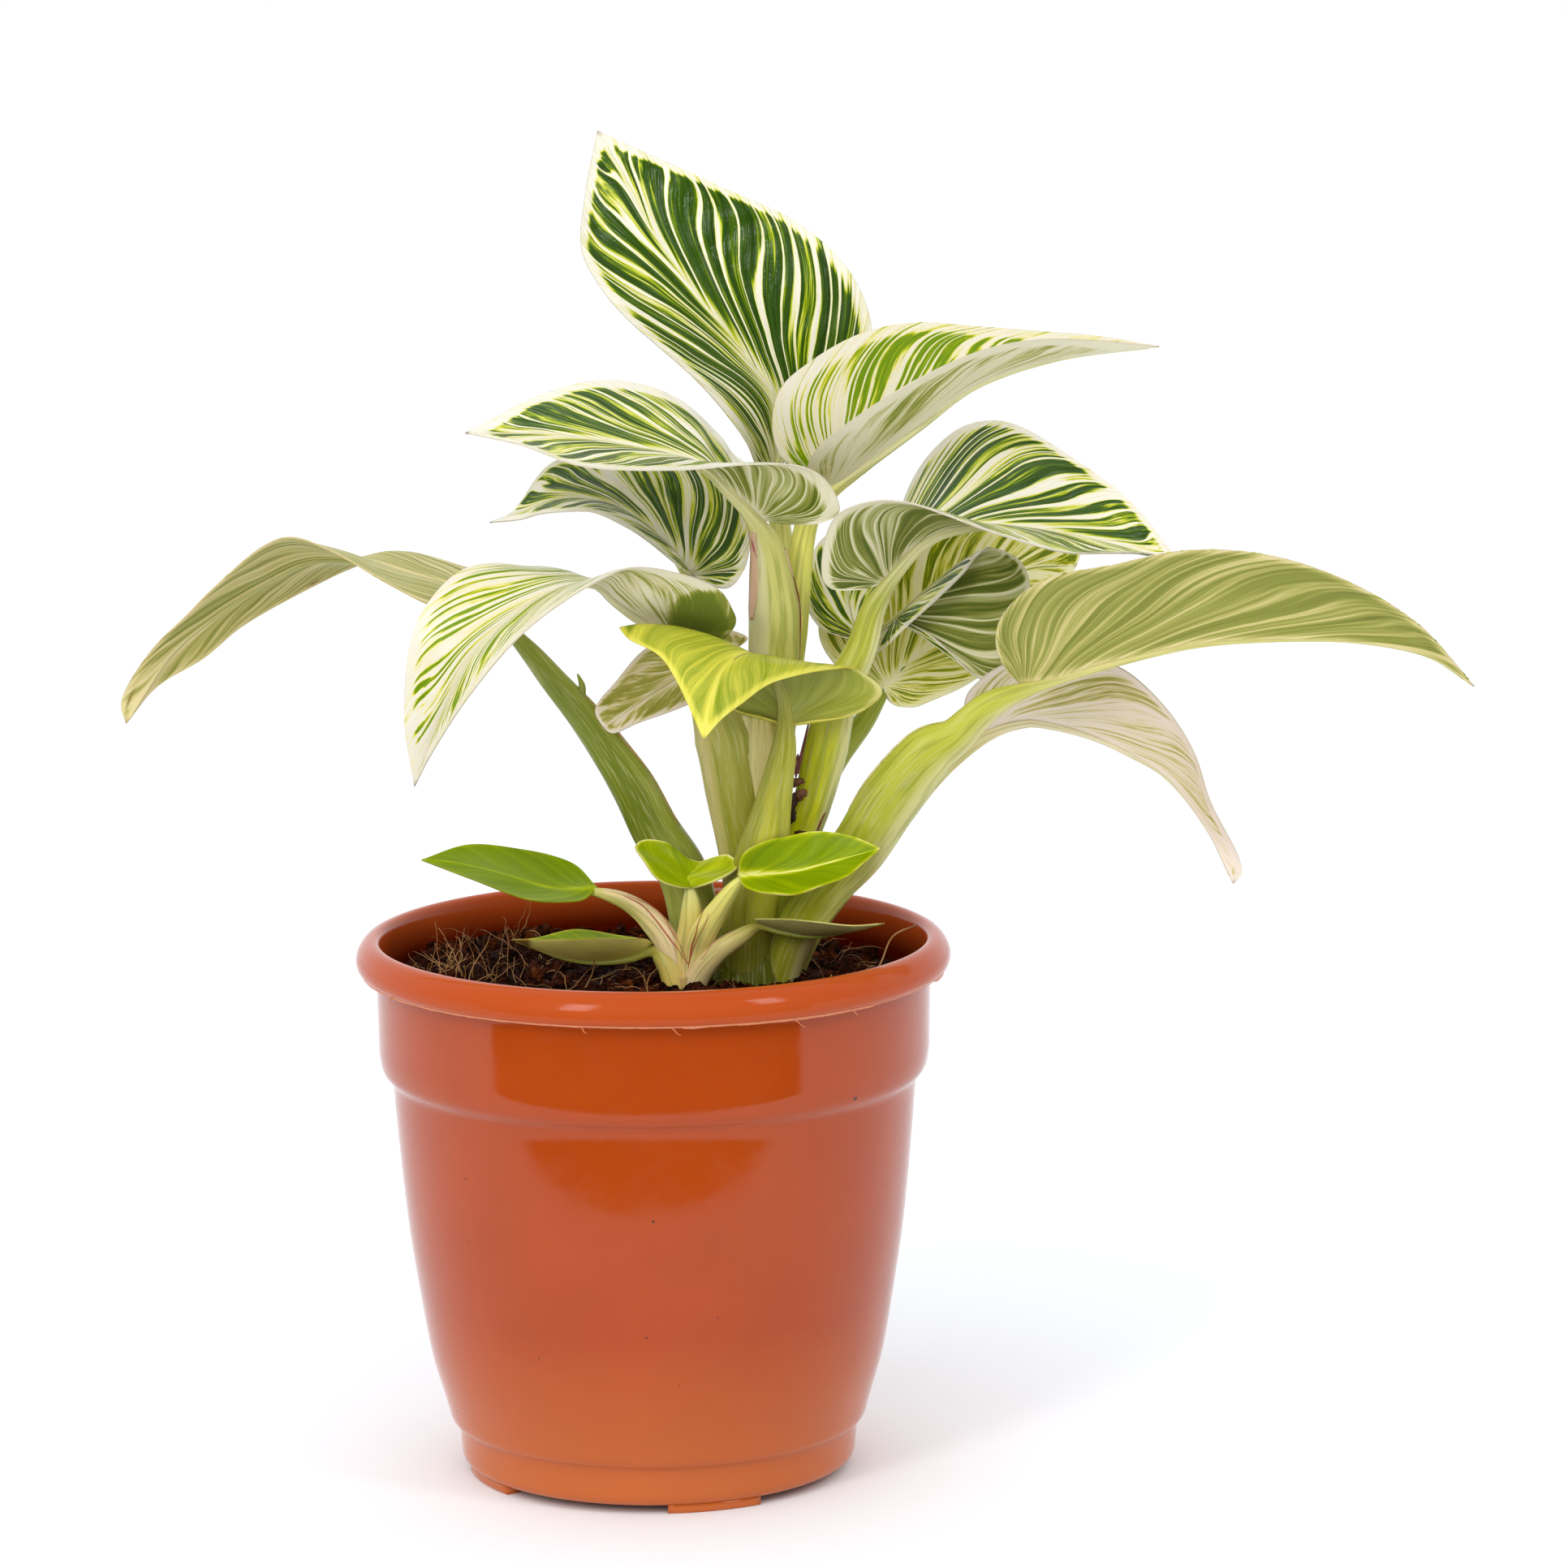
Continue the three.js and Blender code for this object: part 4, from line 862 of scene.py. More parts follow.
# %% [markdown]
# A blade as a sheet. Each row of points is one curve from the rib to the margin,
# so how far along the row a point lies is one of its texture coordinates. The
# other one says which vein runs through it. Most veins of a philodendron leave
# the rib near its foot, fan out, and turn forward once more where they near the
# margin, and two constants shape that. Birkin's stripes follow the veins, so a
# stripe pattern laid on those coordinates bends exactly as the leaf does.
#
# Two more numbers go with each point: its distance to the margin and to the rib
# in millimetres. They draw the cream border and the pale midrib at true width.

# %% From three curves to a grid of points
ROWS, COLUMNS = 116, 24
SMALL_ROWS, SMALL_COLUMNS = 48, 12
VEIN_FAN = 0.004       # the smaller, the more of the veins leave the rib near its foot
MARGIN_BEND = 0.45     # veins turn forward again where they near the margin
PLEAT_MM, PLEAT_DEPTH = 5.0, 0.28


def vein_grid(leaf, rows, columns):
    foot, tip = leaf["rib"][0], leaf["rib"][-1]
    rib = curve_through(leaf["rib"])[0]
    t = np.linspace(0, 1, rows + 1)
    lobe = leaf["lobe"]
    a = np.clip((t - lobe) / (1 - lobe), 0, 1) ** 1.1
    start = at(rib, a)
    forward = unit(at(rib, np.clip(a + 0.01, 0, 1)) - at(rib, np.clip(a - 0.01, 0, 1)))
    s = 0.5 - 0.5 * np.cos(np.pi * np.arange(columns + 1) / columns)
    sides = []
    for margin, belly, turn_sign in ((leaf["left"], leaf["belly"][0], 1),
                                     (leaf["right"], leaf["belly"][1], -1)):
        edge, edge_length = curve_through([foot, *margin, tip])
        end = at(edge, t)
        chord = end - start
        length = np.linalg.norm(chord, axis=1)[:, None] + 1e-9
        up = np.cross(forward, chord / length) * turn_sign
        up = up / np.maximum(np.linalg.norm(up, axis=1)[:, None], 0.15)
        grow = np.clip((t - lobe / 2) / (lobe * 1.2), 0, 1)[:, None]
        sweep = leaf["lead"] * grow * np.sqrt(np.sin(np.pi * t))[:, None]
        pull = (start + end) / 2 + forward * length * sweep + up * length * belly
        grid = np.array([(1 - x)**2 * start + 2 * x * (1 - x) * pull + x**2 * end for x in s])
        grid = grid.transpose(1, 0, 2)
        pleat = np.array([noise.noise(Vector((v * edge_length / PLEAT_MM, 0.5 * turn_sign, 0)))
                          for v in t])[:, None]
        lift = np.minimum(length / 12, 1) * PLEAT_DEPTH * pleat
        grid += (up * lift)[:, None, :] * np.sin(np.pi * s)[None, :, None]
        fan = leaf.get("fan", VEIN_FAN)
        leaves_rib = lobe + (1 - lobe) * np.log1p(a / fan) / math.log1p(1 / fan)
        leaves_rib = np.where(t < lobe, t, leaves_rib)[:, None]
        reach = (s + MARGIN_BEND * np.sin(2 * np.pi * s) / (2 * np.pi))[None, :]
        vein = (1 - reach) * leaves_rib + reach * t[:, None]
        sides.append(dict(grid=grid, t=t, s=s, length=length[:, 0], margin=edge_length, up=up,
                          vein=vein))
    return sides, rib


# %% Welding the two halves of the sheet along the rib
BLADE_STEP, HALF_STEP = 400, 1700     # mm of pattern between two blades, and two halves


def weld(sides, rows, columns, seed):
    points, known, record, quads = [], {}, [], []
    for number, half in enumerate(sides):
        index = np.empty((rows + 1, columns + 1), int)
        for i in range(rows + 1):
            for j in range(columns + 1):
                spot = half["grid"][i, j]
                rounded = tuple(np.round(spot, 3))
                if rounded not in known:
                    known[rounded] = len(points)
                    points.append(spot)
                    from_rib = half["s"][j] * half["length"][i]
                    from_edge = (1 - half["s"][j]) * half["length"][i]
                    record.append((number, half["t"][i], half["s"][j], from_rib, from_edge))
                index[i, j] = known[rounded]
        shift = seed * BLADE_STEP + number * HALF_STEP
        u = half["vein"] * half["margin"] + shift
        for i in range(rows):
            for j in range(columns):
                corners = [(i, j), (i + 1, j), (i + 1, j + 1), (i, j + 1)]
                if number == 1:
                    corners = corners[::-1]
                quads.append([(index[c], (u[c], half["s"][c[1]])) for c in corners])
    faces = []
    for quad in quads:
        kept = [corner for n, corner in enumerate(quad) if corner[0] != quad[n - 1][0]]
        if len({corner[0] for corner in kept}) >= 3:
            faces.append(kept)
    return np.array(points), np.array(record), faces


def sheet_normals(points, faces):
    normals = np.zeros_like(points)
    for face in faces:
        ring = points[[corner[0] for corner in face]]
        n = np.cross(ring[1] - ring[0], ring[-1] - ring[0])
        if len(ring) == 4:
            n = n + np.cross(ring[3] - ring[2], ring[1] - ring[2])
        for corner in face:
            normals[corner[0]] += n
    return unit(normals)


def free_edges(faces):
    edges = {}
    for face in faces:
        ids = [corner[0] for corner in face]
        for a, b in zip(ids, ids[1:] + ids[:1]):
            if (b, a) in edges:
                del edges[(b, a)]
            else:
                edges[(a, b)] = True
    return list(edges)


# %% Painting how pale and how dry each point of a blade is
PLAIN_LOOK = dict(border=1.5, margin=0.6, rib=0.45, rib_width=(1.6, 0.8), groove=0.3, back=0.0,
                  patches=(), spots=(), tip=0.985, dry=0.6, edge=0.35)


def paint_blade(piece, look, record):
    half, along, across, from_rib, from_edge = record.T
    pale = np.full(len(record), look["pale"])
    wide, narrow = look["rib_width"]
    band = narrow + (wide - narrow) * (1 - along) ** 2
    pale += look["rib"] * np.exp(-(from_rib / band) ** 2)
    pale += look["margin"] * np.clip((look["border"] + 0.9 - from_edge) / 1.3, 0, 1)
    for side, t, s, spread, amount in look["patches"]:
        near = ((along - t) / spread[0]) ** 2 + ((across - s) / spread[1]) ** 2
        pale += amount * np.clip(3.5 - 3 * near, 0, 1) * (half == side)
    dry = np.clip((along - look["tip"]) / 0.012, 0, 1) * look["dry"]
    dry = np.maximum(dry, look["edge"] * (from_edge < 0.05))
    for side, t, s, spread in look["spots"]:
        near = ((along - t) / spread) ** 2 + ((across - s) / (spread * 3)) ** 2
        dry += np.exp(-near) * (half == side)
    point_values(piece, "pale", np.r_[pale, pale + look["back"]])
    point_values(piece, "dry", np.clip(np.r_[dry, dry], 0, 1))


# %% Closing the sheet into a thin solid blade
AT_MARGIN, INSIDE_MORE = 0.16, 0.14     # half the thickness in mm, and what it gains inside


def blade_piece(name, leaf, look, seed, rows, columns):
    sides, rib = vein_grid(leaf, rows, columns)
    points, record, quads = weld(sides, rows, columns, seed)
    normals = sheet_normals(points, quads)
    from_rib, from_edge = record[:, 3], record[:, 4]
    thick = AT_MARGIN + INSIDE_MORE * np.clip(from_edge / 4, 0, 1)
    groove = look["groove"] * np.exp(-(from_rib / 0.9) ** 2) * np.clip(from_edge / 5, 0, 1)
    upper = points + normals * (thick - groove)[:, None]
    lower = points - normals * (thick + 0.1 * groove)[:, None]

    n, faces, slots, uvs = len(points), [], [], []
    for face in quads:
        ids = [corner[0] for corner in face]
        faces += [tuple(ids), tuple(n + i for i in reversed(ids))]
        uvs += [corner[1] for corner in face] + [corner[1] for corner in reversed(face)]
        slots += [0, 1]
    edges = free_edges(quads)
    uv_of = {corner[0]: corner[1] for face in quads for corner in face}
    for a, b in edges:
        faces.append((b, a, n + a, n + b))
        uvs += [uv_of[b], uv_of[a], uv_of[a], uv_of[b]]
        slots.append(0)
    piece = make_mesh(name, np.vstack([upper, lower]), faces, look["skins"])
    piece.data.polygons.foreach_set("material_index", slots)
    layer = piece.data.uv_layers.new(name="veins")
    layer.data.foreach_set("uv", np.array(uvs, np.float32).ravel())
    rim = {i for pair in edges for i in pair}
    sharp = piece.data.attributes.new("sharp_edge", "BOOLEAN", "EDGE")
    sharp.data.foreach_set("value", [
        (e.vertices[0] % n in rim) and (e.vertices[1] % n in rim)
        and (e.vertices[0] < n) == (e.vertices[1] < n) for e in piece.data.edges])
    paint_blade(piece, look, record)
    return piece, rib, sides


# %% [markdown]
# The colour of a blade. A chimera like birkin has patches of tissue with and
# without chlorophyll, drawn out along the veins as the leaf grew. Three noises,
# stretched along the veins, add up to that pattern: broad stripes 4.2 mm apart,
# lines between them at 1.3 mm, and dashes of half a millimetre. The main veins
# come on top, as pale lines every 4 to 6 mm that swell, thin out and wander. A
# colour ramp turns the sum into tissue: deep green, a lime fringe where only
# one cell layer is green, cream, and white.
#
# The underside shows the same stripes through an unpigmented skin, so its ramp
# has the same order but gentler steps and greyer, blushing tones. A waxy upper
# skin is glossy, a hairless back is satin.

# %% A pattern along the veins, and the main veins themselves
STRIPE_MM, LINE_MM, DASH_MM = 4.2, 1.3, 0.5
WANDER_MM = 13.0       # how far a main vein may stray from its place in the row


def stretched(tree, veins, spacing, along_vein, detail, waver=0.0):
    scaled = add(tree, "ShaderNodeMapping",
                 {"Vector": veins, "Scale": (1 / spacing, along_vein, 1)})
    return add(tree, "ShaderNodeTexNoise", {"Vector": scaled.outputs["Vector"], "Scale": 1.0,
                                            "Detail": detail, "Distortion": waver},
               noise_dimensions="2D").outputs["Fac"]


def main_veins(tree, veins, amount, width, spacing):
    along = add(tree, "ShaderNodeSeparateXYZ", {"Vector": veins}).outputs["X"]
    wander = stretched(tree, veins, 8.0, 0.5, 1.0)
    strength = stretched(tree, veins, 11.0, 0.8, 1.0)
    in_rows = add(tree, "ShaderNodeMath", {0: along, 1: 1 / spacing}, operation="MULTIPLY")
    strayed = add(tree, "ShaderNodeMath", {0: wander, 1: WANDER_MM / spacing,
                                           2: in_rows.outputs[0]}, operation="MULTIPLY_ADD")
    off_vein = add(tree, "ShaderNodeMath", {0: strayed.outputs[0], 1: 0.5}, operation="PINGPONG")
    broad = add(tree, "ShaderNodeMath", {0: strength, 1: 2 * width}, operation="MULTIPLY")
    peak = add(tree, "ShaderNodeMapRange", {
        "Value": off_vein.outputs[0], "From Min": 0.0, "From Max": broad.outputs[0],
        "To Min": amount, "To Max": 0.0}, interpolation_type="SMOOTHSTEP")
    return peak.outputs["Result"]


# %% Leaf skins
def leaf_skin(name, stops, gloss, weights=(0.52, 0.33, 0.15), contrast=2.6, dry_tone="7d5a26",
              crinkle=0.35, through=0.12, veining=0.0, vein_width=0.16, vein_mm=6.0,
              along=(0.3, 1.2, 5.0), shine_level=0.35, waver=0.25, vein_relief=0.0003):
    material, tree, shader = new_material(
        name, IOR=1.45, Subsurface_Weight=through, Subsurface_Radius=(1.0, 0.9, 0.3),
        Subsurface_Scale=0.0008, Specular_IOR_Level=shine_level)
    veins = add(tree, "ShaderNodeUVMap", uv_map="veins").outputs["UV"]
    layers = [stretched(tree, veins, spacing, pace, detail, waver) for spacing, pace, detail in
              zip((STRIPE_MM, LINE_MM, DASH_MM), along, (1.0, 2.0, 2.0))]
    pale = add(tree, "ShaderNodeAttribute", attribute_name="pale").outputs["Fac"]
    level = add(tree, "ShaderNodeMath", {0: pale, 1: 0.5 - contrast * sum(weights) / 2},
                operation="ADD").outputs[0]
    for layer, weight in zip(layers, weights):
        level = add(tree, "ShaderNodeMath", {0: layer, 1: weight * contrast, 2: level},
                    operation="MULTIPLY_ADD").outputs[0]
    if veining:
        lines = main_veins(tree, veins, veining, vein_width, vein_mm)
        level = add(tree, "ShaderNodeMath", {0: level, 1: lines}, operation="ADD").outputs[0]
    tissue = add(tree, "ShaderNodeValToRGB", {"Fac": level})
    set_stops(tissue, stops)
    dry = add(tree, "ShaderNodeAttribute", attribute_name="dry").outputs["Fac"]
    withered = add(tree, "ShaderNodeMix", {0: dry, 6: tissue.outputs["Color"],
                                           7: linear(dry_tone)}, data_type="RGBA")
    tree.links.new(withered.outputs[2], shader.inputs["Base Color"])
    where = add(tree, "ShaderNodeTexCoord").outputs["Object"]
    blotches = add(tree, "ShaderNodeTexNoise", {"Vector": where, "Scale": 160})
    shine = add(tree, "ShaderNodeMapRange", {
        "Value": blotches.outputs["Fac"], "From Min": 0.35, "From Max": 0.7,
        "To Min": gloss - 0.05, "To Max": gloss + 0.1})
    tree.links.new(shine.outputs["Result"], shader.inputs["Roughness"])
    relief = add(tree, "ShaderNodeBump",
                 {"Height": layers[1], "Strength": crinkle, "Distance": vein_relief})
    wrinkles = add(tree, "ShaderNodeTexNoise",
                   {"Vector": where, "Scale": 900, "Detail": 3, "Roughness": 0.6})
    fine = add(tree, "ShaderNodeBump", {
        "Height": wrinkles.outputs["Fac"], "Strength": crinkle, "Distance": 0.00012,
        "Normal": relief.outputs["Normal"]})
    tree.links.new(fine.outputs["Normal"], shader.inputs["Normal"])
    return material


striped_dark = leaf_skin("waxy_leaf_green_striped_white", [
    (0.0, "203b00"), (0.36, "335300"), (0.46, "547100"), (0.52, "8ca00a"), (0.58, "c0c722"),
    (0.64, "d8d46a"), (0.72, "e3ddb2"), (1.0, "eae5d4")], 0.14, (0.44, 0.36, 0.20), crinkle=0.9,
    veining=0.76, vein_width=0.14, contrast=2.4, shine_level=0.38, vein_relief=0.0006)
striped_yellow = leaf_skin("waxy_leaf_cream_striped_lime", [
    (0.0, "5a7000"), (0.32, "758300"), (0.42, "9fa612"), (0.50, "c8c63a"), (0.60, "e4dd7c"),
    (0.76, "eee7a4"), (1.0, "f2ecc0")], 0.3, (0.42, 0.3, 0.28), contrast=2.9,
    veining=0.5, vein_width=0.22, vein_mm=5.0)
striped_light = leaf_skin("waxy_leaf_white_streaked_lime", [
    (0.0, "668600"), (0.30, "789200"), (0.38, "9dab00"), (0.44, "c6c416"), (0.50, "d7d058"),
    (0.58, "dcd3a4"), (1.0, "ddd7c5")], 0.28, (0.14, 0.5, 0.36), contrast=2.6,
    veining=0.9, vein_width=0.44, vein_mm=3.4, along=(0.8, 1.8, 6.0))
young_lime = leaf_skin("young_leaf_yellow_lime", [
    (0.0, "71880c"), (0.3, "8b9a14"), (0.46, "a5ab33"), (0.6, "bdbc3b"), (0.78, "cfca45"),
    (1.0, "ddd65c")], 0.32, (0.6, 0.25, 0.15), contrast=1.6, along=(0.25, 0.9, 3.0), waver=0.8)
fresh_green = leaf_skin("juvenile_leaf_bright_green", [
    (0.0, "5b7300"), (0.4, "7a9000"), (0.6, "90a200"), (0.8, "b4bc14"), (0.92, "d8d866"),
    (1.0, "e2e087")], 0.32, contrast=0.9, crinkle=0.15, shine_level=0.12)
back_sage = leaf_skin("leaf_back_sage_striped", [
    (0.0, "47560d"), (0.34, "5d6a1f"), (0.46, "7b802f"), (0.56, "9b9d59"), (0.66, "b6b67c"),
    (0.8, "d2cda4"), (1.0, "dfd8bd")], 0.46, (0.62, 0.28, 0.1), contrast=1.7, crinkle=0.2,
    veining=0.4, vein_width=0.2, vein_mm=5.0, along=(0.5, 1.2, 3.0), shine_level=0.3, waver=0.7)
back_olive = leaf_skin("leaf_back_olive_faded", [
    (0.0, "6e722a"), (0.34, "868a39"), (0.5, "9a9a4a"), (0.66, "b1aa61"), (0.8, "cabf7e"),
    (1.0, "d8c994")], 0.48, (0.6, 0.3, 0.1), contrast=1.7, crinkle=0.2, veining=0.26,
    vein_width=0.34, vein_mm=5.0, shine_level=0.3, along=(0.5, 1.0, 3.0), waver=0.7)
back_cream = leaf_skin("leaf_back_cream_blotched_olive", [
    (0.0, "6f7d2c"), (0.08, "87963e"), (0.11, "7e8732"), (0.34, "8f9440"), (0.46, "adad5e"),
    (0.58, "cdc68f"), (0.72, "e3dcbc"), (1.0, "ebe4cd")], 0.44, (0.46, 0.34, 0.2),
    contrast=2.7, crinkle=0.3, along=(1.3, 2.4, 6.0), shine_level=0.35, waver=0.8)
back_blush = leaf_skin("leaf_back_blush_streaked_olive", [
    (0.0, "85842e"), (0.3, "9c9847"), (0.44, "bcb06c"), (0.54, "d2c597"), (0.68, "dccfb6"),
    (1.0, "e2d4c6")], 0.45, (0.46, 0.34, 0.2), contrast=2.4, crinkle=0.2, along=(0.8, 1.8, 5.0),
    shine_level=0.3, waver=0.9)
back_lime = leaf_skin("leaf_back_dull_lime", [
    (0.0, "7d8c20"), (0.4, "8e9334"), (0.7, "a1a344"), (1.0, "c4bf77")],
    0.42, contrast=1.4, crinkle=0.15, shine_level=0.4, waver=0.8)
# Its tones are partly the pale back of a withering leaf and partly painted light, lifted well above that
# to take the blade out of the shade that it sits in, low above the mix.
back_withering_painted_light = leaf_skin("leaf_back_withering_with_painted_light", [
    (0.0, "e6e070"), (0.5, "f2ea88"), (1.0, "f4ecb0")],
    0.5, contrast=1.2, crinkle=0.15, through=0.3, shine_level=0.3)
print("materials:", len(bpy.data.materials))

# %% Which skin each blade wears, and how pale it is
VARIEGATED = dict(slot="leaf_variegated", skins=(striped_dark, back_sage))
WHITE_LIME = dict(slot="leaf_white_lime", skins=(striped_light, back_cream))
SHOOT = dict(slot="leaf_fresh_lime", skins=(fresh_green, back_lime), pale=-0.1, border=0.1,
             margin=0.3, rib=0.35, rib_width=(1.3, 0.1), groove=0.12)
LEAF_LOOKS = {     # a blade's place in this list also picks its own stretch of the pattern
    "leaf_top_upright": dict(VARIEGATED, pale=-0.2, border=2.0, rib_width=(4.5, 0.8),
                             patches=((0, 0.4, 0.5, (0.8, 1.2), 0.07),
                                      (1, 0.5, 0.5, (1.5, 1.5), -0.04))),
    "leaf_top_right": dict(WHITE_LIME, pale=-0.42, border=3.2, back=0.6, rib_width=(5.0, 1.0)),
    "leaf_upper_left": dict(VARIEGATED, pale=-0.06, border=3.0, rib_width=(3.0, 0.8)),
    "leaf_upper_left_rear": dict(VARIEGATED, pale=-0.05, border=1.4, rib_width=(4.0, 1.0)),
    "leaf_far_left": dict(slot="leaf_sage", skins=(back_olive, back_olive), pale=0.0, border=0.6,
                          margin=0.35, spots=((1, 0.55, 0.9, 0.012), (0, 0.95, 0.6, 0.02))),
    "leaf_mid_left": dict(WHITE_LIME, pale=-0.38, border=2.2, back=0.48, rib_width=(3.0, 1.0),
                          patches=((0, 0.08, 0.65, (0.16, 0.8), -1.0),)),
    "leaf_front_lime": dict(slot="leaf_yellow_lime", skins=(young_lime, back_lime), pale=0.0,
                            border=1.2, margin=0.5, groove=0.1),
    "leaf_inner_left": dict(slot="leaf_white_lime", skins=(back_blush, back_blush), pale=-0.18,
                            border=0.6),
    "leaf_upper_right": dict(VARIEGATED, pale=-0.04, border=1.6, rib_width=(2.5, 0.8)),
    "leaf_inner_right": dict(VARIEGATED, pale=-0.05, border=0.8),
    "leaf_mid_right": dict(VARIEGATED, slot="leaf_sage", pale=-0.05, border=0.8),
    "leaf_rear_right": dict(slot="leaf_white_lime", skins=(striped_yellow, back_sage), pale=-0.02,
                            border=1.0),
    "leaf_far_right": dict(slot="leaf_sage", skins=(striped_dark, back_olive), pale=-0.12,
                           border=0.8, margin=0.35, stalk_rib=1.1),
    "leaf_low_right": dict(slot="leaf_white_lime", skins=(striped_light, back_blush), pale=0.0,
                           back=0.12, border=1.2),
    "pup_leaf_left": dict(SHOOT, pale=-0.2),
    "pup_leaf_middle": dict(SHOOT, pale=0.05, rib=0.0, groove=0.0, margin=0.7,
                            patches=((1, 0.5, 0.6, (1.5, 1.5), 0.12),)),
    "pup_leaf_right": dict(SHOOT, rib=0.6, margin=0.6, rib_width=(1.8, 0.1)),
    # This blade wears the withering back, whose tones are lifted as painted light against the shade down
    # by the mix.
    "pup_leaf_low_left": dict(SHOOT, skins=(fresh_green, back_withering_painted_light), margin=0.6, dry=0.9,
                              tip=0.87, edge=0.7),
    # Its raised pale is painted light: it lifts this blade out of the shade of pup_leaf_right above it.
    "pup_leaf_low_right": dict(SHOOT, pale=0.6, margin=0.6, dry=0.9, tip=0.95),
}

ribs = {}
for seed, (name, look) in enumerate(LEAF_LOOKS.items(), 1):
    table, grid_size = BIG_LEAVES, (ROWS, COLUMNS)
    if name in SMALL_LEAVES:
        table, grid_size = SMALL_LEAVES, (SMALL_ROWS, SMALL_COLUMNS)
    blade, rib, halves = blade_piece(name + "_blade", table[name], dict(PLAIN_LOOK, **look),
                                     seed, *grid_size)
    place(blade, look["slot"], name)
    ribs[name] = (rib, halves)
print("blades:", len(ribs))

# %% [markdown]
# Stalks. A leaf stalk is a fleshy rod that widens downwards into a sheath, and
# at its upper end it runs on under the blade as the midrib. So stalk and rib
# are one tube here: it starts as a hair at the leaf's tip, swells towards the
# base of the blade, bends and goes down into the soil.
#
# Each point below is x, y, z and radius, and flat is how deep the stalk is
# compared with its width.

# %% Stalks of the main plant and of the side shoots
MAIN_STALKS = {
    "leaf_top_upright": dict(flat=0.9,
        path=[(30, 22, 232, 2), (31, 20, 222, 2.6), (31, 15, 202, 4), (29, 12, 182, 4.5),
            (27, 10, 159, 4.5), (23, 9, 132, 5), (21, 8, 107, 4)]),
    "leaf_top_right": dict(flat=0.9,
        path=[(40, 4, 232, 2.4), (37, 6, 225, 2.6), (33, 8, 198, 4), (30, 7, 179, 4.5),
            (27, 7, 156, 4.5), (21, 6, 107, 4)]),
    "leaf_upper_left": dict(flat=0.8,
        path=[(27, -3, 226, 2.6), (28, -1, 217, 4.5), (29, 1, 206, 6), (29, 3, 195, 6),
            (28, 4, 178, 5.5), (27, 5, 160, 5), (24, 5, 137, 5.5), (22, 4, 107, 5)]),
    "leaf_upper_left_rear": dict(flat=0.8,
        path=[(10, 10, 210, 2), (14, 14, 200, 2.4), (18, 14, 188, 3), (23, 13, 174, 4),
            (26, 13, 159, 4), (22, 10, 107, 4)]),
    "leaf_inner_left": dict(flat=0.9,
        path=[(21, 8, 194, 1.6), (24, 8, 188, 2.4), (27, 8, 176, 3)]),
    "leaf_inner_right": dict(flat=0.9,
        path=[(50, 12, 195, 1.6), (47, 10, 186, 2.6), (42, 7, 172, 3.4)]),
    "leaf_mid_right": dict(flat=0.9,
        path=[(56, 13, 198, 1.7), (52, 13, 194, 2.3), (48, 9, 187, 2.6), (43, 6, 176, 3)]),
    "leaf_far_left": dict(flat=0.8,
        path=[(-31, 6, 199, 2), (-24, 4, 190, 3), (-15, 4, 179, 4), (-5, 4, 164, 5.2),
            (1, 5, 152, 5.8), (7, 6, 142, 6), (10, 8, 129, 6), (12, 8, 107, 5)]),
    "leaf_mid_left": dict(flat=0.5,
        path=[(9, -5, 198, 2.2), (13, -6, 188, 4.5), (17, -5, 176, 7), (19, -4, 163, 6.5),
            (21, -2, 148, 5.5), (22, 1, 134, 5), (21, 3, 107, 5)]),
    "leaf_front_lime": dict(flat=0.75,
        path=[(32, -13, 179, 2.8), (30, -13, 170, 3.4), (28, -11, 160, 4.5), (26, -8, 150, 6),
            (23, -2, 137, 6.5), (22, 1, 123, 6), (22, 3, 107, 6)]),
    "leaf_upper_right": dict(flat=0.8,
        path=[(53, 2, 210, 2.6), (50, 2, 197, 3.6), (44, 1, 184, 4.6), (41, 1, 172, 5.2),
            (38, 1, 160, 4.6), (33, 2, 145, 4.5), (26, 3, 107, 4)]),
    "leaf_rear_right": dict(flat=0.8,
        path=[(55, 13, 183, 2), (50, 12, 176, 2.6), (43, 10, 167, 3), (38, 9, 157, 3.4),
            (32, 6, 137, 4.4), (27, 5, 107, 4)]),
    "leaf_far_right": dict(flat=0.7,
        path=[(85, -12, 189, 3.2), (76, -12, 182, 3.6), (71, -12, 177, 4.4), (65, -11, 173, 6.4),
            (56, -9, 162, 7.2), (48, -6, 149, 6.8), (39, -3, 138, 6), (32, 0, 125, 5),
            (27, 3, 107, 4)]),
    "leaf_low_right": dict(flat=0.8,
        path=[(77, 9, 173, 2), (67, 9, 165, 3), (57, 8, 154, 4), (45, 8, 140, 4.5),
            (35, 7, 127, 5), (28, 6, 107, 4)]),
}

PUP_STALKS = {
    "pup_leaf_left": dict(flat=0.8,
        path=[(-13, -2, 139, 1.4), (-6, -4, 137, 2), (0, -5, 132, 2.9), (4, -6, 126, 3.2),
            (7, -7, 110, 3)]),
    "pup_leaf_middle": dict(flat=0.8,
        path=[(9, -8, 140, 2), (9, -8, 133, 2.8), (8, -7, 126, 3.2), (8, -7, 110, 3)]),
    "pup_leaf_right": dict(flat=0.8,
        path=[(20, -14, 144, 1.6), (17, -13, 139, 2.3), (12, -11, 131, 3.2), (10, -8, 124, 3.2),
            (8, -7, 110, 3)]),
    "pup_leaf_low_left": dict(flat=0.9,
        path=[(0, -5, 126, 2), (3, -7, 123, 2.6), (5, -8, 118, 3), (7, -8, 110, 2.6)]),
    "pup_leaf_low_right": dict(flat=0.9,
        path=[(25, -10, 132, 1.5), (19, -12, 129, 2.2), (14, -11, 125, 2.6), (10, -9, 119, 2.8),
            (8, -8, 110, 2.6)]),
}

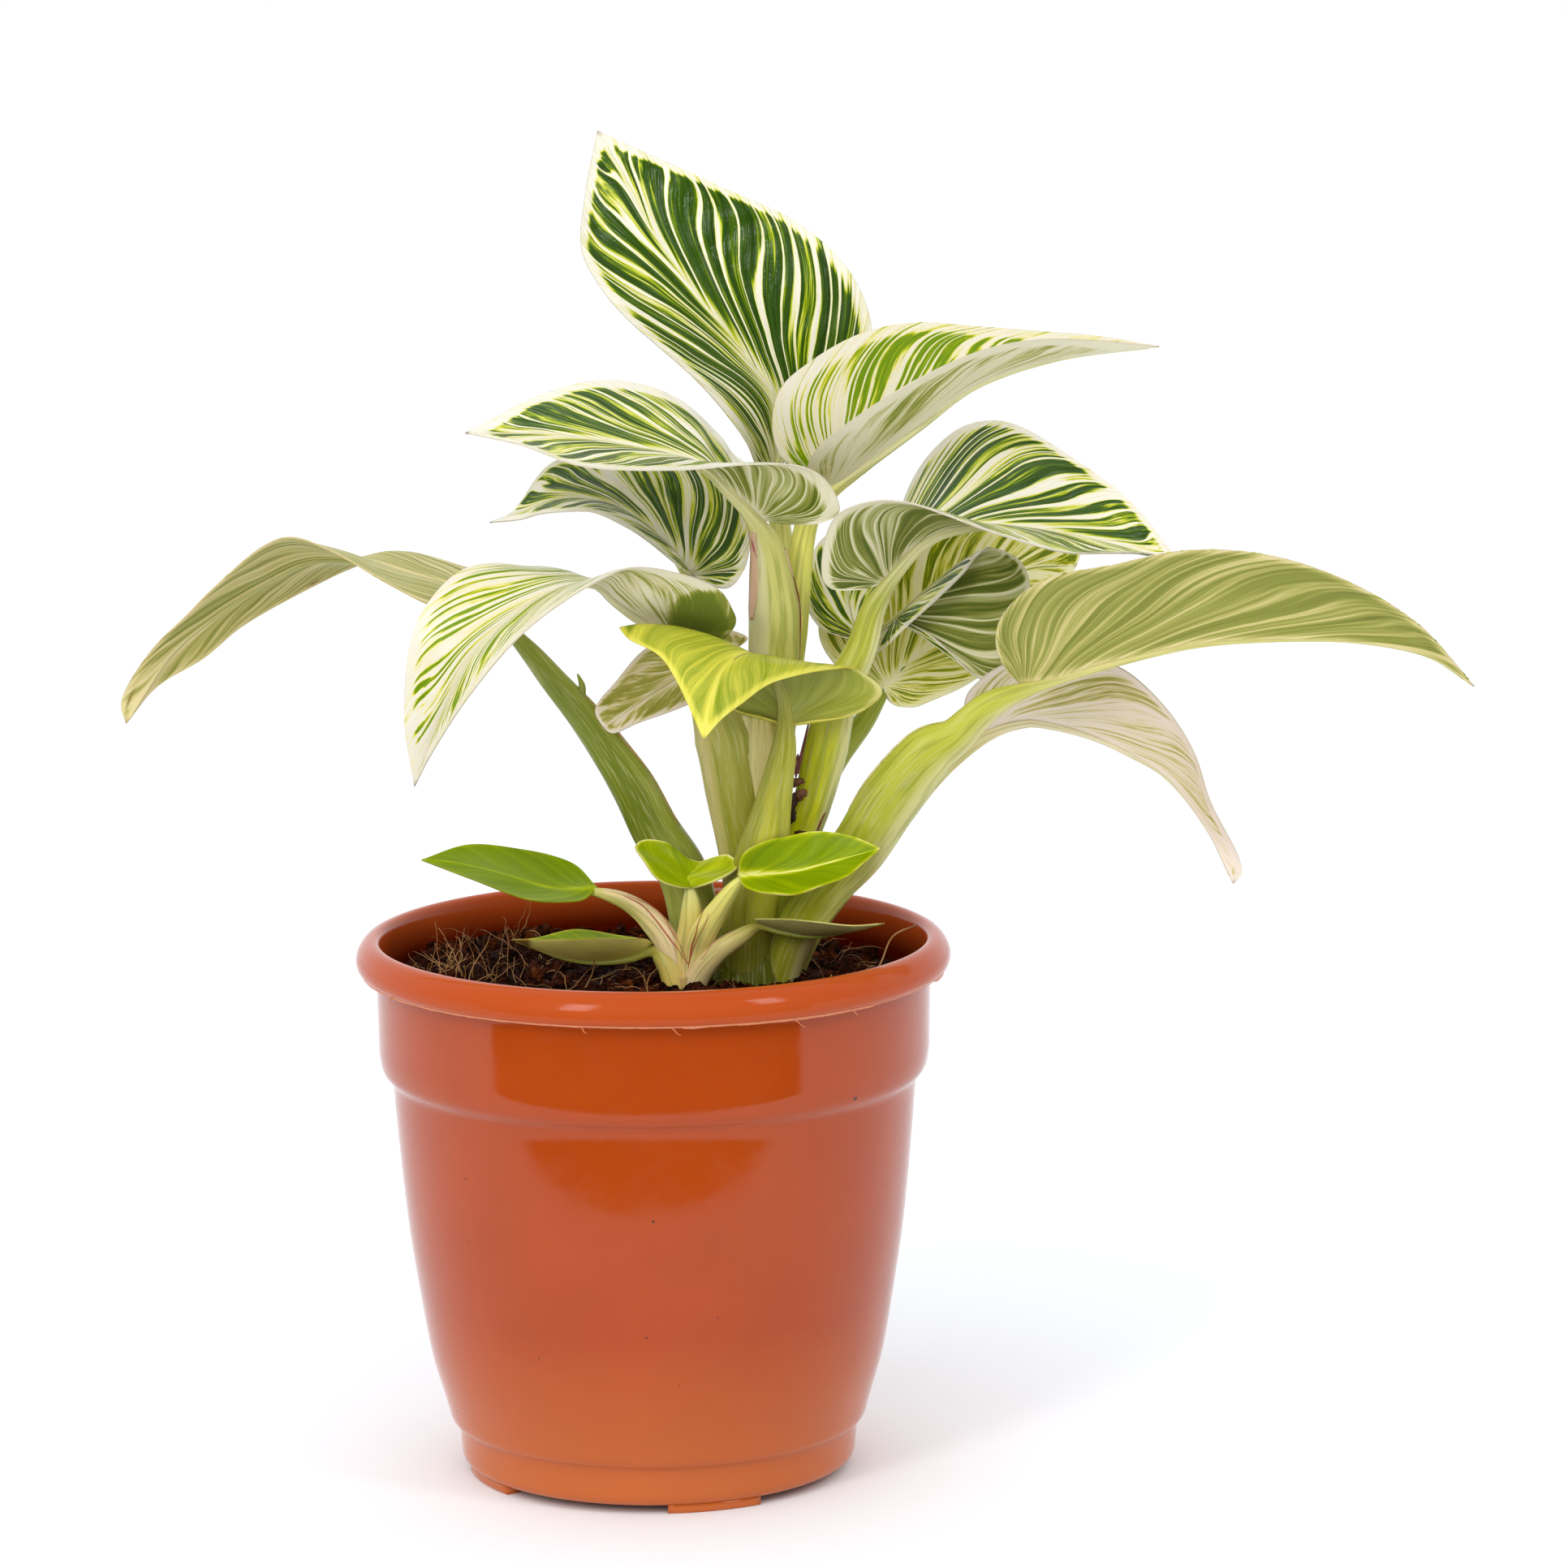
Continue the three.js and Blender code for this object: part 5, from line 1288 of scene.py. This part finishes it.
CROWNS = {
    "main": dict(flat=0.8, path=[(23, 5, 128, 8.6), (23, 5, 116, 10.6), (23, 5, 105, 9)]),
    "pup": dict(flat=0.8, path=[(8, -7, 120, 4.4), (8, -7, 114, 4.8), (8, -7, 109, 4)]),
}
print("stalks:", len(MAIN_STALKS) + len(PUP_STALKS))

# %% [markdown]
# Stalk colour. The skin is pale lime with finer streaks of deeper green and
# cream running its whole length, about one per millimetre round the stalk.
# Every stalk has its own tone from foot to blade, so the tone is painted on the
# points and the streaks are laid over it by the shader. Some of those tones also
# hold painted shade, darker where leaves above shade a stalk, painted light,
# lighter where a stalk would otherwise sit in shade, and one painted highlight.

# %% Stalk skin
stalk_skin, tree, shader = new_material(
    "fleshy_stalk_streaked_lime", Roughness=0.38, IOR=1.42, Subsurface_Weight=0.25,
    Subsurface_Radius=(1.0, 1.1, 0.4), Subsurface_Scale=0.0025)
tone = add(tree, "ShaderNodeAttribute", attribute_name="tone").outputs["Color"]
grain = add(tree, "ShaderNodeUVMap", uv_map="grain").outputs["UV"]
streaks = stretched(tree, grain, 1.5, 0.05, 2.0)
threads = stretched(tree, grain, 0.35, 0.1, 2.0)
deeper = add(tree, "ShaderNodeMapRange",
             {"Value": streaks, "From Min": 0.48, "From Max": 0.66, "To Max": 0.45})
greened = add(tree, "ShaderNodeMix", {0: deeper.outputs["Result"], 6: tone,
                                      7: linear("758204")}, data_type="RGBA")
lighter = add(tree, "ShaderNodeMapRange",
              {"Value": threads, "From Min": 0.5, "From Max": 0.7, "To Max": 0.4})
creamed = add(tree, "ShaderNodeMix", {0: lighter.outputs["Result"], 6: greened.outputs[2],
                                      7: linear("c8c288")}, data_type="RGBA")
tree.links.new(creamed.outputs[2], shader.inputs["Base Color"])
skin_relief = add(tree, "ShaderNodeBump",
                  {"Height": streaks, "Strength": 0.16, "Distance": 0.0003})
where = add(tree, "ShaderNodeTexCoord").outputs["Object"]
pores = add(tree, "ShaderNodeTexNoise", {"Vector": where, "Scale": 700})
pored = add(tree, "ShaderNodeBump", {"Height": pores.outputs["Fac"], "Strength": 0.3,
                                     "Distance": 0.0001, "Normal": skin_relief.outputs["Normal"]})
tree.links.new(pored.outputs["Normal"], shader.inputs["Normal"])
print("stalk skin:", len(tree.nodes), "nodes")

# %% Tones from the foot of each stalk up to its blade, then along the rib
# Painted light and shade in this table: the dark feet of main, leaf_front_lime and leaf_mid_left are
# painted shade where the leaves above shade them; the pale foot of leaf_far_left and the bright tones of
# leaf_upper_right are painted light that lifts them out of the shade among the other stalks; the pale neck
# of leaf_top_right is a painted highlight.
STALK_TONES = {
    "leaf_top_upright": ("adaf34", "b7b941", "d2ce78", "e6e1a5"),
    "leaf_top_right": ("b0b32b", "b8b834", "f6f180", "e7e1ae"),
    "leaf_upper_left": ("cecc50", "c9c75d", "c3bf6f", "e0d9a3"),
    "leaf_upper_left_rear": ("a5a728", "aeb33d", "c3c06a", "dbd59c"),
    "leaf_inner_left": ("a39e4a", "aca353", "c0b578", "cec093"),
    "leaf_inner_right": ("9aa701", "a1ac19", "a29f56", "bdb77c"),
    "leaf_mid_right": ("9aa701", "a1ac19", "a29f56", "bdb77c"),
    "leaf_far_left": ("f6f68c", "677606", "879432", "adac6e"),
    "leaf_mid_left": ("7e7e20", "9a972c", "aca454", "e0d9b7"),
    "leaf_front_lime": ("4e5408", "d1cf41", "9a9629", "979544"),
    "leaf_upper_right": ("b9c201", "cbcd03", "acae45", "dbd5a1"),
    "leaf_rear_right": ("a3ae41", "a8ae46", "979f26", "7c8e14"),
    "leaf_far_right": ("969420", "a9ae30", "b9b940", "cac17b"),
    "leaf_low_right": ("a1a541", "b7b361", "d2c585", "e1d4b6"),
    "pup_leaf_left": ("efc295", "ead39a", "cfc06c", "c0c358"),
    "pup_leaf_middle": ("f1bd8c", "eace79", "d3cc68", "e0e5a1"),
    "pup_leaf_right": ("e8c295", "edda80", "e4e06c", "dbe073"),
    "pup_leaf_low_left": ("d0a363", "d0b55a", "afa33f", "8c8c34"),
    "pup_leaf_low_right": ("e4bd9c", "dcc688", "bcb055", "8a9425"),
    "main": ("5c5f16", "545b08", "858a1c", "858a1c"),
    "pup": ("c08c63", "c09c5d", "c09c5d", "c09c5d"),
}

# One side of a stalk often runs to another tone, where its sheath begins: the direction
# that this side faces, its tone, and how far round the stalk it reaches.
SIDE_TINTS = {
    "leaf_upper_left": ((-1, -0.5, 0), "d3cca0", 0.45),
    "leaf_far_left": ((0.8, -0.3, 0.5), "959c38", 0.35),
    "leaf_mid_left": ((-1, -0.2, 0), "d8c298", 0.14),
    "leaf_front_lime": ((-1, -0.2, 0), "8f8f2c", 0.3),
    "leaf_upper_right": ((1, -0.3, 0), "dcd89a", 0.35),
    "leaf_far_right": ((0.7, -0.3, -0.7), "cdc886", 0.3),
    "pup_leaf_left": ((0.6, -0.5, 0.6), "e6c9a0", 0.4),
}
print("tones:", len(STALK_TONES), "and side tints:", len(SIDE_TINTS))


# %% One tube from the tip of the rib down into the soil
STALK_SIDES = 26
RING_MM = 1.2                # height between two rings of a stalk
RIB_TIP = 0.22               # mm: radius of the rib at the tip of the blade
RIB_RINGS = 40
SHADE_JOIN = 14              # mm over which the neck turns to the tone of the rib
SEAM_BACK, SEAM_ON = 6, 8    # rings before and after the join that are smoothed


def rib_centres(name, thickest):
    rib, halves = ribs[name]
    a = np.linspace(0.97, 0.015, RIB_RINGS)
    left, right = (h["up"][np.clip((a * ROWS).astype(int), 1, len(h["up"]) - 2)] for h in halves)
    up = unit(left + right)
    radius = RIB_TIP + (thickest - RIB_TIP) * (1 - a) ** 1.6
    centre = at(rib, a) - up * np.maximum(radius - 0.12, 0)[:, None]
    return centre, radius


def distance_along(points):
    return np.r_[0, np.cumsum(np.linalg.norm(np.diff(points, axis=0), axis=1))]


def stalk_line(name, path):
    count = max(36, int(np.ptp(path[:, 2]) / RING_MM))
    centres = curve_through(path[:, :3], count)[0]
    walked = distance_along(path[:, :3])
    radii = np.interp(np.linspace(0, walked[-1], count + 1), walked, path[:, 3])
    stalk_part = np.linspace(0, 1, count + 1)
    if name not in CROWNS:
        widest_rib = LEAF_LOOKS[name].get("stalk_rib", 1.7)
        rib_line, rib_radii = rib_centres(name, min(path[0, 3] * 0.62, widest_rib))
        centres = np.vstack([rib_line, centres[3:]])
        radii = np.r_[rib_radii, radii[3:]]
        stalk_part = np.r_[np.full(RIB_RINGS, -1.0), stalk_part[3:]]
        seam = slice(RIB_RINGS - SEAM_BACK, RIB_RINGS + SEAM_ON)
        for _ in range(6):
            beside = np.roll(centres, 1, 0)[seam] + np.roll(centres, -1, 0)[seam]
            centres[seam] = (centres[seam] + beside) / 3
            radii[seam] = (radii[seam] * 2 + np.roll(radii, 1)[seam] + np.roll(radii, -1)[seam]) / 4
    return centres[::-1], radii[::-1], stalk_part[::-1]


def ring_tones(name, stalk_part, walked):
    foot, middle, neck, rib_tone = (np.array(linear(c)) for c in STALK_TONES[name])
    up = np.clip(1 - stalk_part, 0, 2)[:, None]
    colours = np.where(up < 0.5, foot + (middle - foot) * up * 2,
                       middle + (neck - middle) * (up * 2 - 1).clip(0, 1))
    if name in CROWNS:
        return colours
    joint = walked[np.argmax(stalk_part < 0)]
    ribward = np.clip((walked - joint + 4) / SHADE_JOIN, 0, 1)[:, None]
    colours = np.where(stalk_part[:, None] < 0, neck, colours)
    return colours + (rib_tone - colours) * ribward


def stalk(name, entry, sides=STALK_SIDES):
    centres, radii, stalk_part = stalk_line(name, np.array(entry["path"], float))
    walked = distance_along(centres)
    points, faces = tube(centres, radii, sides, entry["flat"])
    colours = np.repeat(ring_tones(name, stalk_part, walked), sides, axis=0)
    if name in SIDE_TINTS:
        towards, tint, around = SIDE_TINTS[name]
        outward = unit(points - np.repeat(centres, sides, axis=0))
        amount = np.clip((outward @ unit(np.array(towards, float)) - 1 + around) / 0.2, 0, 1)
        amount = (amount * np.repeat(stalk_part >= 0, sides) * 0.85)[:, None]
        colours = colours + (np.array(linear(tint)) - colours) * amount
    ring = np.arange(sides) * 2 * np.pi * 4.0 / sides
    grain_uv = np.stack(np.meshgrid(ring, walked), axis=-1).reshape(-1, 2)
    return points, faces, colours, grain_uv


def stalk_clump(name, table, crown, slot, node):
    made = [stalk(key, entry) for key, entry in [*table.items(), (crown, CROWNS[crown])]]
    piece = make_mesh(name, *gather([one[:2] for one in made]), [stalk_skin])
    point_colours(piece, "tone", np.vstack([one[2] for one in made]))
    corner_map(piece, "grain", np.vstack([one[3] + (number * 61.0, number * 37.0)
                                          for number, one in enumerate(made)]))
    place(piece, slot, node)
    print(name, len(piece.data.polygons), "faces")
    return piece


main_stalks = stalk_clump("main_stalks", MAIN_STALKS, "main", "stem_green", "main_stems")
shoot_stalks = stalk_clump("shoot_stalks", PUP_STALKS, "pup", "pup_stem", "pup_stems")

# %% [markdown]
# Sheaths. The foot of each stalk wraps the next younger one in a thin sheath, and
# the free edge of that sheath dries first to pink, then to red-brown. On the plant
# these edges are a fifth of a millimetre thick, yet they are the only red in a
# green picture, so the eye finds them at once. Membranes are closed sheets
# between two lines, and the edges are thin tubes. Both are laid onto the stalks
# by asking for the nearest point of their surface, so they stay where they grew
# if a stalk is moved.

# %% Membranes and their dried edges
MEMBRANES = [     # a line down each side, the tone at each, and whether it lies on the stalks
    ([(23, -2, 224), (23, -2, 219), (23, -1, 213), (24, 0, 206), (24, 0, 203)],
     [(25, -5, 224), (25, -4, 219), (25, -4, 212), (25, -2, 206), (24, -1, 203)],
     ("d9a48c", "dcb394"), True),
    ([(32, -2, 220), (32, -2, 217), (33, -1, 213)], [(34, 0, 219), (34, 1, 216), (34, 1, 213)],
     ("d8ae90", "cdb878"), True),
    ([(20, -7, 182), (22, -7, 175), (23, -7, 169), (24, -6, 163), (25, -5, 157)],
     [(28, -4, 180), (29, -4, 174), (29, -4, 168), (28, -4, 162), (26, -4, 157)],
     ("e3d58c", "e6d08a"), False),
]
EDGES = [         # the line, its tone, its radius, and the clump that it lies on
    ([(32, -2, 219), (33, -1, 217), (34, 0, 214), (35, 0, 211), (35, 1, 207), (35, 2, 200),
      (35, 3, 194), (34, 3, 189)], "7f3329", 0.3, "main"),
    ([(24, -4, 223), (24, -4, 221), (25, -4, 218)], "b04a5a", 0.35, "main"),
    ([(32, -2, 220), (33, -1, 220), (34, 0, 219)], "8f3a34", 0.25, "main"),
    ([(41, -2, 157), (40, -2, 155), (39, -2, 152)], "7c3026", 0.3, "main"),
    ([(28, -5, 180), (30, -5, 177), (30, -5, 172), (30, -5, 166)], "b8763a", 0.22, None),
    ([(-16, 2, 187), (-12, 2, 184), (-9, 2, 180), (-5, 2, 174), (1, 3, 167), (6, 3, 161),
      (9, 3, 155)], "b58c58", 0.3, "main"),
    ([(67, -11, 180), (63, -11, 179), (59, -11, 176), (55, -10, 171), (50, -9, 165),
      (46, -8, 159)], "d8ce94", 0.35, "main"),
    ([(-7, -5, 139), (-6, -5, 138), (-3, -6, 137), (0, -7, 134), (3, -8, 130), (6, -9, 126),
      (8, -10, 123)], "c0503f", 0.17, "pup"),
    ([(-6, -5, 139), (-3, -5, 137), (1, -5, 135), (4, -7, 131), (6, -9, 128), (8, -10, 123)],
     "c8664c", 0.15, "pup"),
    ([(12, -12, 137), (11, -13, 136), (10, -13, 131), (9, -11, 127), (8, -10, 122)],
     "c24a38", 0.18, "pup"),
    ([(13, -14, 136), (12, -14, 133), (10, -13, 129), (9, -11, 126), (8, -10, 123)],
     "cc7a58", 0.13, "pup"),
    ([(19, -12, 131), (16, -12, 130), (14, -12, 128), (12, -12, 125), (10, -10, 122)],
     "cf9a7c", 0.18, "pup"),
]
print("membranes:", len(MEMBRANES), "and dried edges:", len(EDGES))

MEMBRANE_COLUMNS, MEMBRANE_ROWS = 7, 30
MEMBRANE_BULGE = 0.8                 # mm towards the front
TOOTH = [(-17, 3, 183), (-16, 3, 187), (-17, 3, 190)]     # a scale on the far left stalk


def surface_of(piece):
    corners = [(np.array(v.co) / MM - POT_AXIS).tolist() for v in piece.data.vertices]
    return BVHTree.FromPolygons(corners, [tuple(f.vertices) for f in piece.data.polygons])


SURFACES = {"main": surface_of(main_stalks), "pup": surface_of(shoot_stalks)}


def onto(surface, points, lift):
    laid = []
    for point in points:
        spot, outwards, _, _ = surface.find_nearest(Vector(point))
        laid.append(np.array(spot) + lift * np.array(outwards))
    for _ in range(4):
        laid[1:-1] = [(a + b + c) / 3 for a, b, c in zip(laid, laid[1:], laid[2:])]
    return np.array(laid)


def sheet(columns, thick=0.14):
    grid = np.array(columns)
    across, along = len(grid), len(grid[0])
    normals = unit(np.cross(np.gradient(grid, axis=0), np.gradient(grid, axis=1)))
    points = np.vstack([(grid - thick * normals).reshape(-1, 3),
                        (grid + thick * normals).reshape(-1, 3)])
    n, faces = across * along, []
    for i in range(across - 1):
        for j in range(along - 1):
            a = i * along + j
            faces += [(a, a + 1, a + along + 1, a + along),
                      (n + a, n + a + along, n + a + along + 1, n + a + 1)]
    rim = ([i * along for i in range(across)] + [(across - 1) * along + j for j in range(1, along)]
           + [i * along + along - 1 for i in range(across - 2, -1, -1)]
           + list(range(along - 2, 0, -1)))
    faces += [(a, b, n + b, n + a) for a, b in zip(rim, rim[1:] + rim[:1])]
    return points, faces


def one_tone(hex_colour, part):
    return np.tile(linear(hex_colour), (len(part[0]), 1))


# %% Lay them on the stalks
sheath_parts, sheath_tones = [], []
for left, right, (left_tone, right_tone), on_stalk in MEMBRANES:
    left, right = (curve_through(line, MEMBRANE_ROWS)[0] for line in (left, right))
    shares = np.linspace(0, 1, MEMBRANE_COLUMNS)
    columns = [left + (right - left) * f - (0, MEMBRANE_BULGE * math.sin(math.pi * f), 0)
               for f in shares]
    if on_stalk:
        columns = [onto(SURFACES["main"], column, 0.1) for column in columns]
    sheath_parts.append(sheet(columns))
    mix = np.tile(np.repeat(shares, MEMBRANE_ROWS + 1), 2)[:, None]
    first, last = np.array(linear(left_tone)), np.array(linear(right_tone))
    sheath_tones.append(first + (last - first) * mix)
for line, tone_of_edge, radius, clump in EDGES:
    centres = curve_through(line, 40)[0]
    if clump:
        centres = onto(SURFACES[clump], centres, 0.05)
    shrink = radius * np.sqrt(np.sin(np.linspace(0.15, math.pi - 0.15, len(centres))))
    sheath_parts.append(tube(centres, shrink, 8))
    sheath_tones.append(one_tone(tone_of_edge, sheath_parts[-1]))
sheath_parts.append(tapered(TOOTH, 12, 1.6, 0.25, 10, 0.5))
sheath_tones.append(one_tone("7d8526", sheath_parts[-1]))
sheaths = make_mesh("sheath_edges", *gather(sheath_parts), [stalk_skin])
point_colours(sheaths, "tone", np.vstack(sheath_tones))
corner_map(sheaths, "grain", np.vstack([p[:, [0, 2]] for p, _ in sheath_parts]))
place(sheaths, "stem_green")
print("sheaths and edges:", len(sheath_parts), "with", len(sheaths.data.polygons), "faces")

# %% [markdown]
# One old sheath has withered completely and is stuck between two stalks. Dead
# tissue shrinks and crumples as it dries, so it is built from small crumpled
# flakes, purple-red at the top where it dried last and nearly black at the foot.

# %% Withered remnant
withered_tissue, tree, shader = new_material("withered_sheath_tissue", Roughness=0.6)
tone = add(tree, "ShaderNodeAttribute", attribute_name="tone").outputs["Color"]
where = add(tree, "ShaderNodeTexCoord").outputs["Object"]
mottle = add(tree, "ShaderNodeTexNoise",
             {"Vector": where, "Scale": 900, "Detail": 4, "Roughness": 0.7})
darker = add(tree, "ShaderNodeMapRange", {"Value": mottle.outputs["Fac"], "From Min": 0.45,
                                          "From Max": 0.65, "To Max": 0.8})
withered = add(tree, "ShaderNodeMix", {0: darker.outputs["Result"], 6: tone,
                                       7: linear("1f0d06")}, data_type="RGBA")
tree.links.new(withered.outputs[2], shader.inputs["Base Color"])

FLAKES = [        # middle, half width, half depth, half height, tilt in degrees, tone
    ((34, -4, 169), 0.6, 0.4, 2.4, 4, "8a4a48"),
    ((34, -4, 165), 1.5, 0.6, 1.1, -20, "6a3c22"),
    ((35, -4, 162), 1.2, 0.5, 1.4, 30, "7a4a28"),
    ((33, -4, 160), 1.0, 0.7, 2.3, 12, "3a2012"),
    ((33, -4, 157), 0.7, 0.5, 1.7, 0, "2c150b"),
    ((35, -5, 153), 1.5, 0.5, 0.6, 8, "40210f"),
    ((48, -8, 162), 0.45, 0.4, 0.5, 20, "7a5230"),
]
THREAD = [(37, -2, 179), (36, -3, 175), (35, -4, 171), (34, -4, 167)]
corners, faces = unit_lump(3)
flake_parts, flake_tones = [], []
for number, (middle, wide, deep, high, tilt, tone_of_flake) in enumerate(FLAKES):
    crumple = np.array([1 + 0.55 * noise.noise(Vector(p) * 1.7 + Vector((number * 9, 0, 0)))
                        + 0.4 * noise.noise(Vector(p) * 4.5 + Vector((0, number * 9, 0)))
                        for p in corners])[:, None]
    turned = np.array(Matrix.Rotation(math.radians(tilt), 3, "Y"))
    flake_parts.append(((corners * crumple * (wide, deep, high)) @ turned.T + middle, faces))
    flake_tones.append(one_tone(tone_of_flake, flake_parts[-1]))
flake_parts.append(tapered(THREAD, 20, 0.2, 0.5, 8))
flake_tones.append(one_tone("7a3a34", flake_parts[-1]))
remnant = make_mesh("withered_sheath", *gather(flake_parts), [withered_tissue])
point_colours(remnant, "tone", np.vstack(flake_tones))
place(remnant, "dry_husk", "dry_sheath")
print("withered flakes:", len(FLAKES))
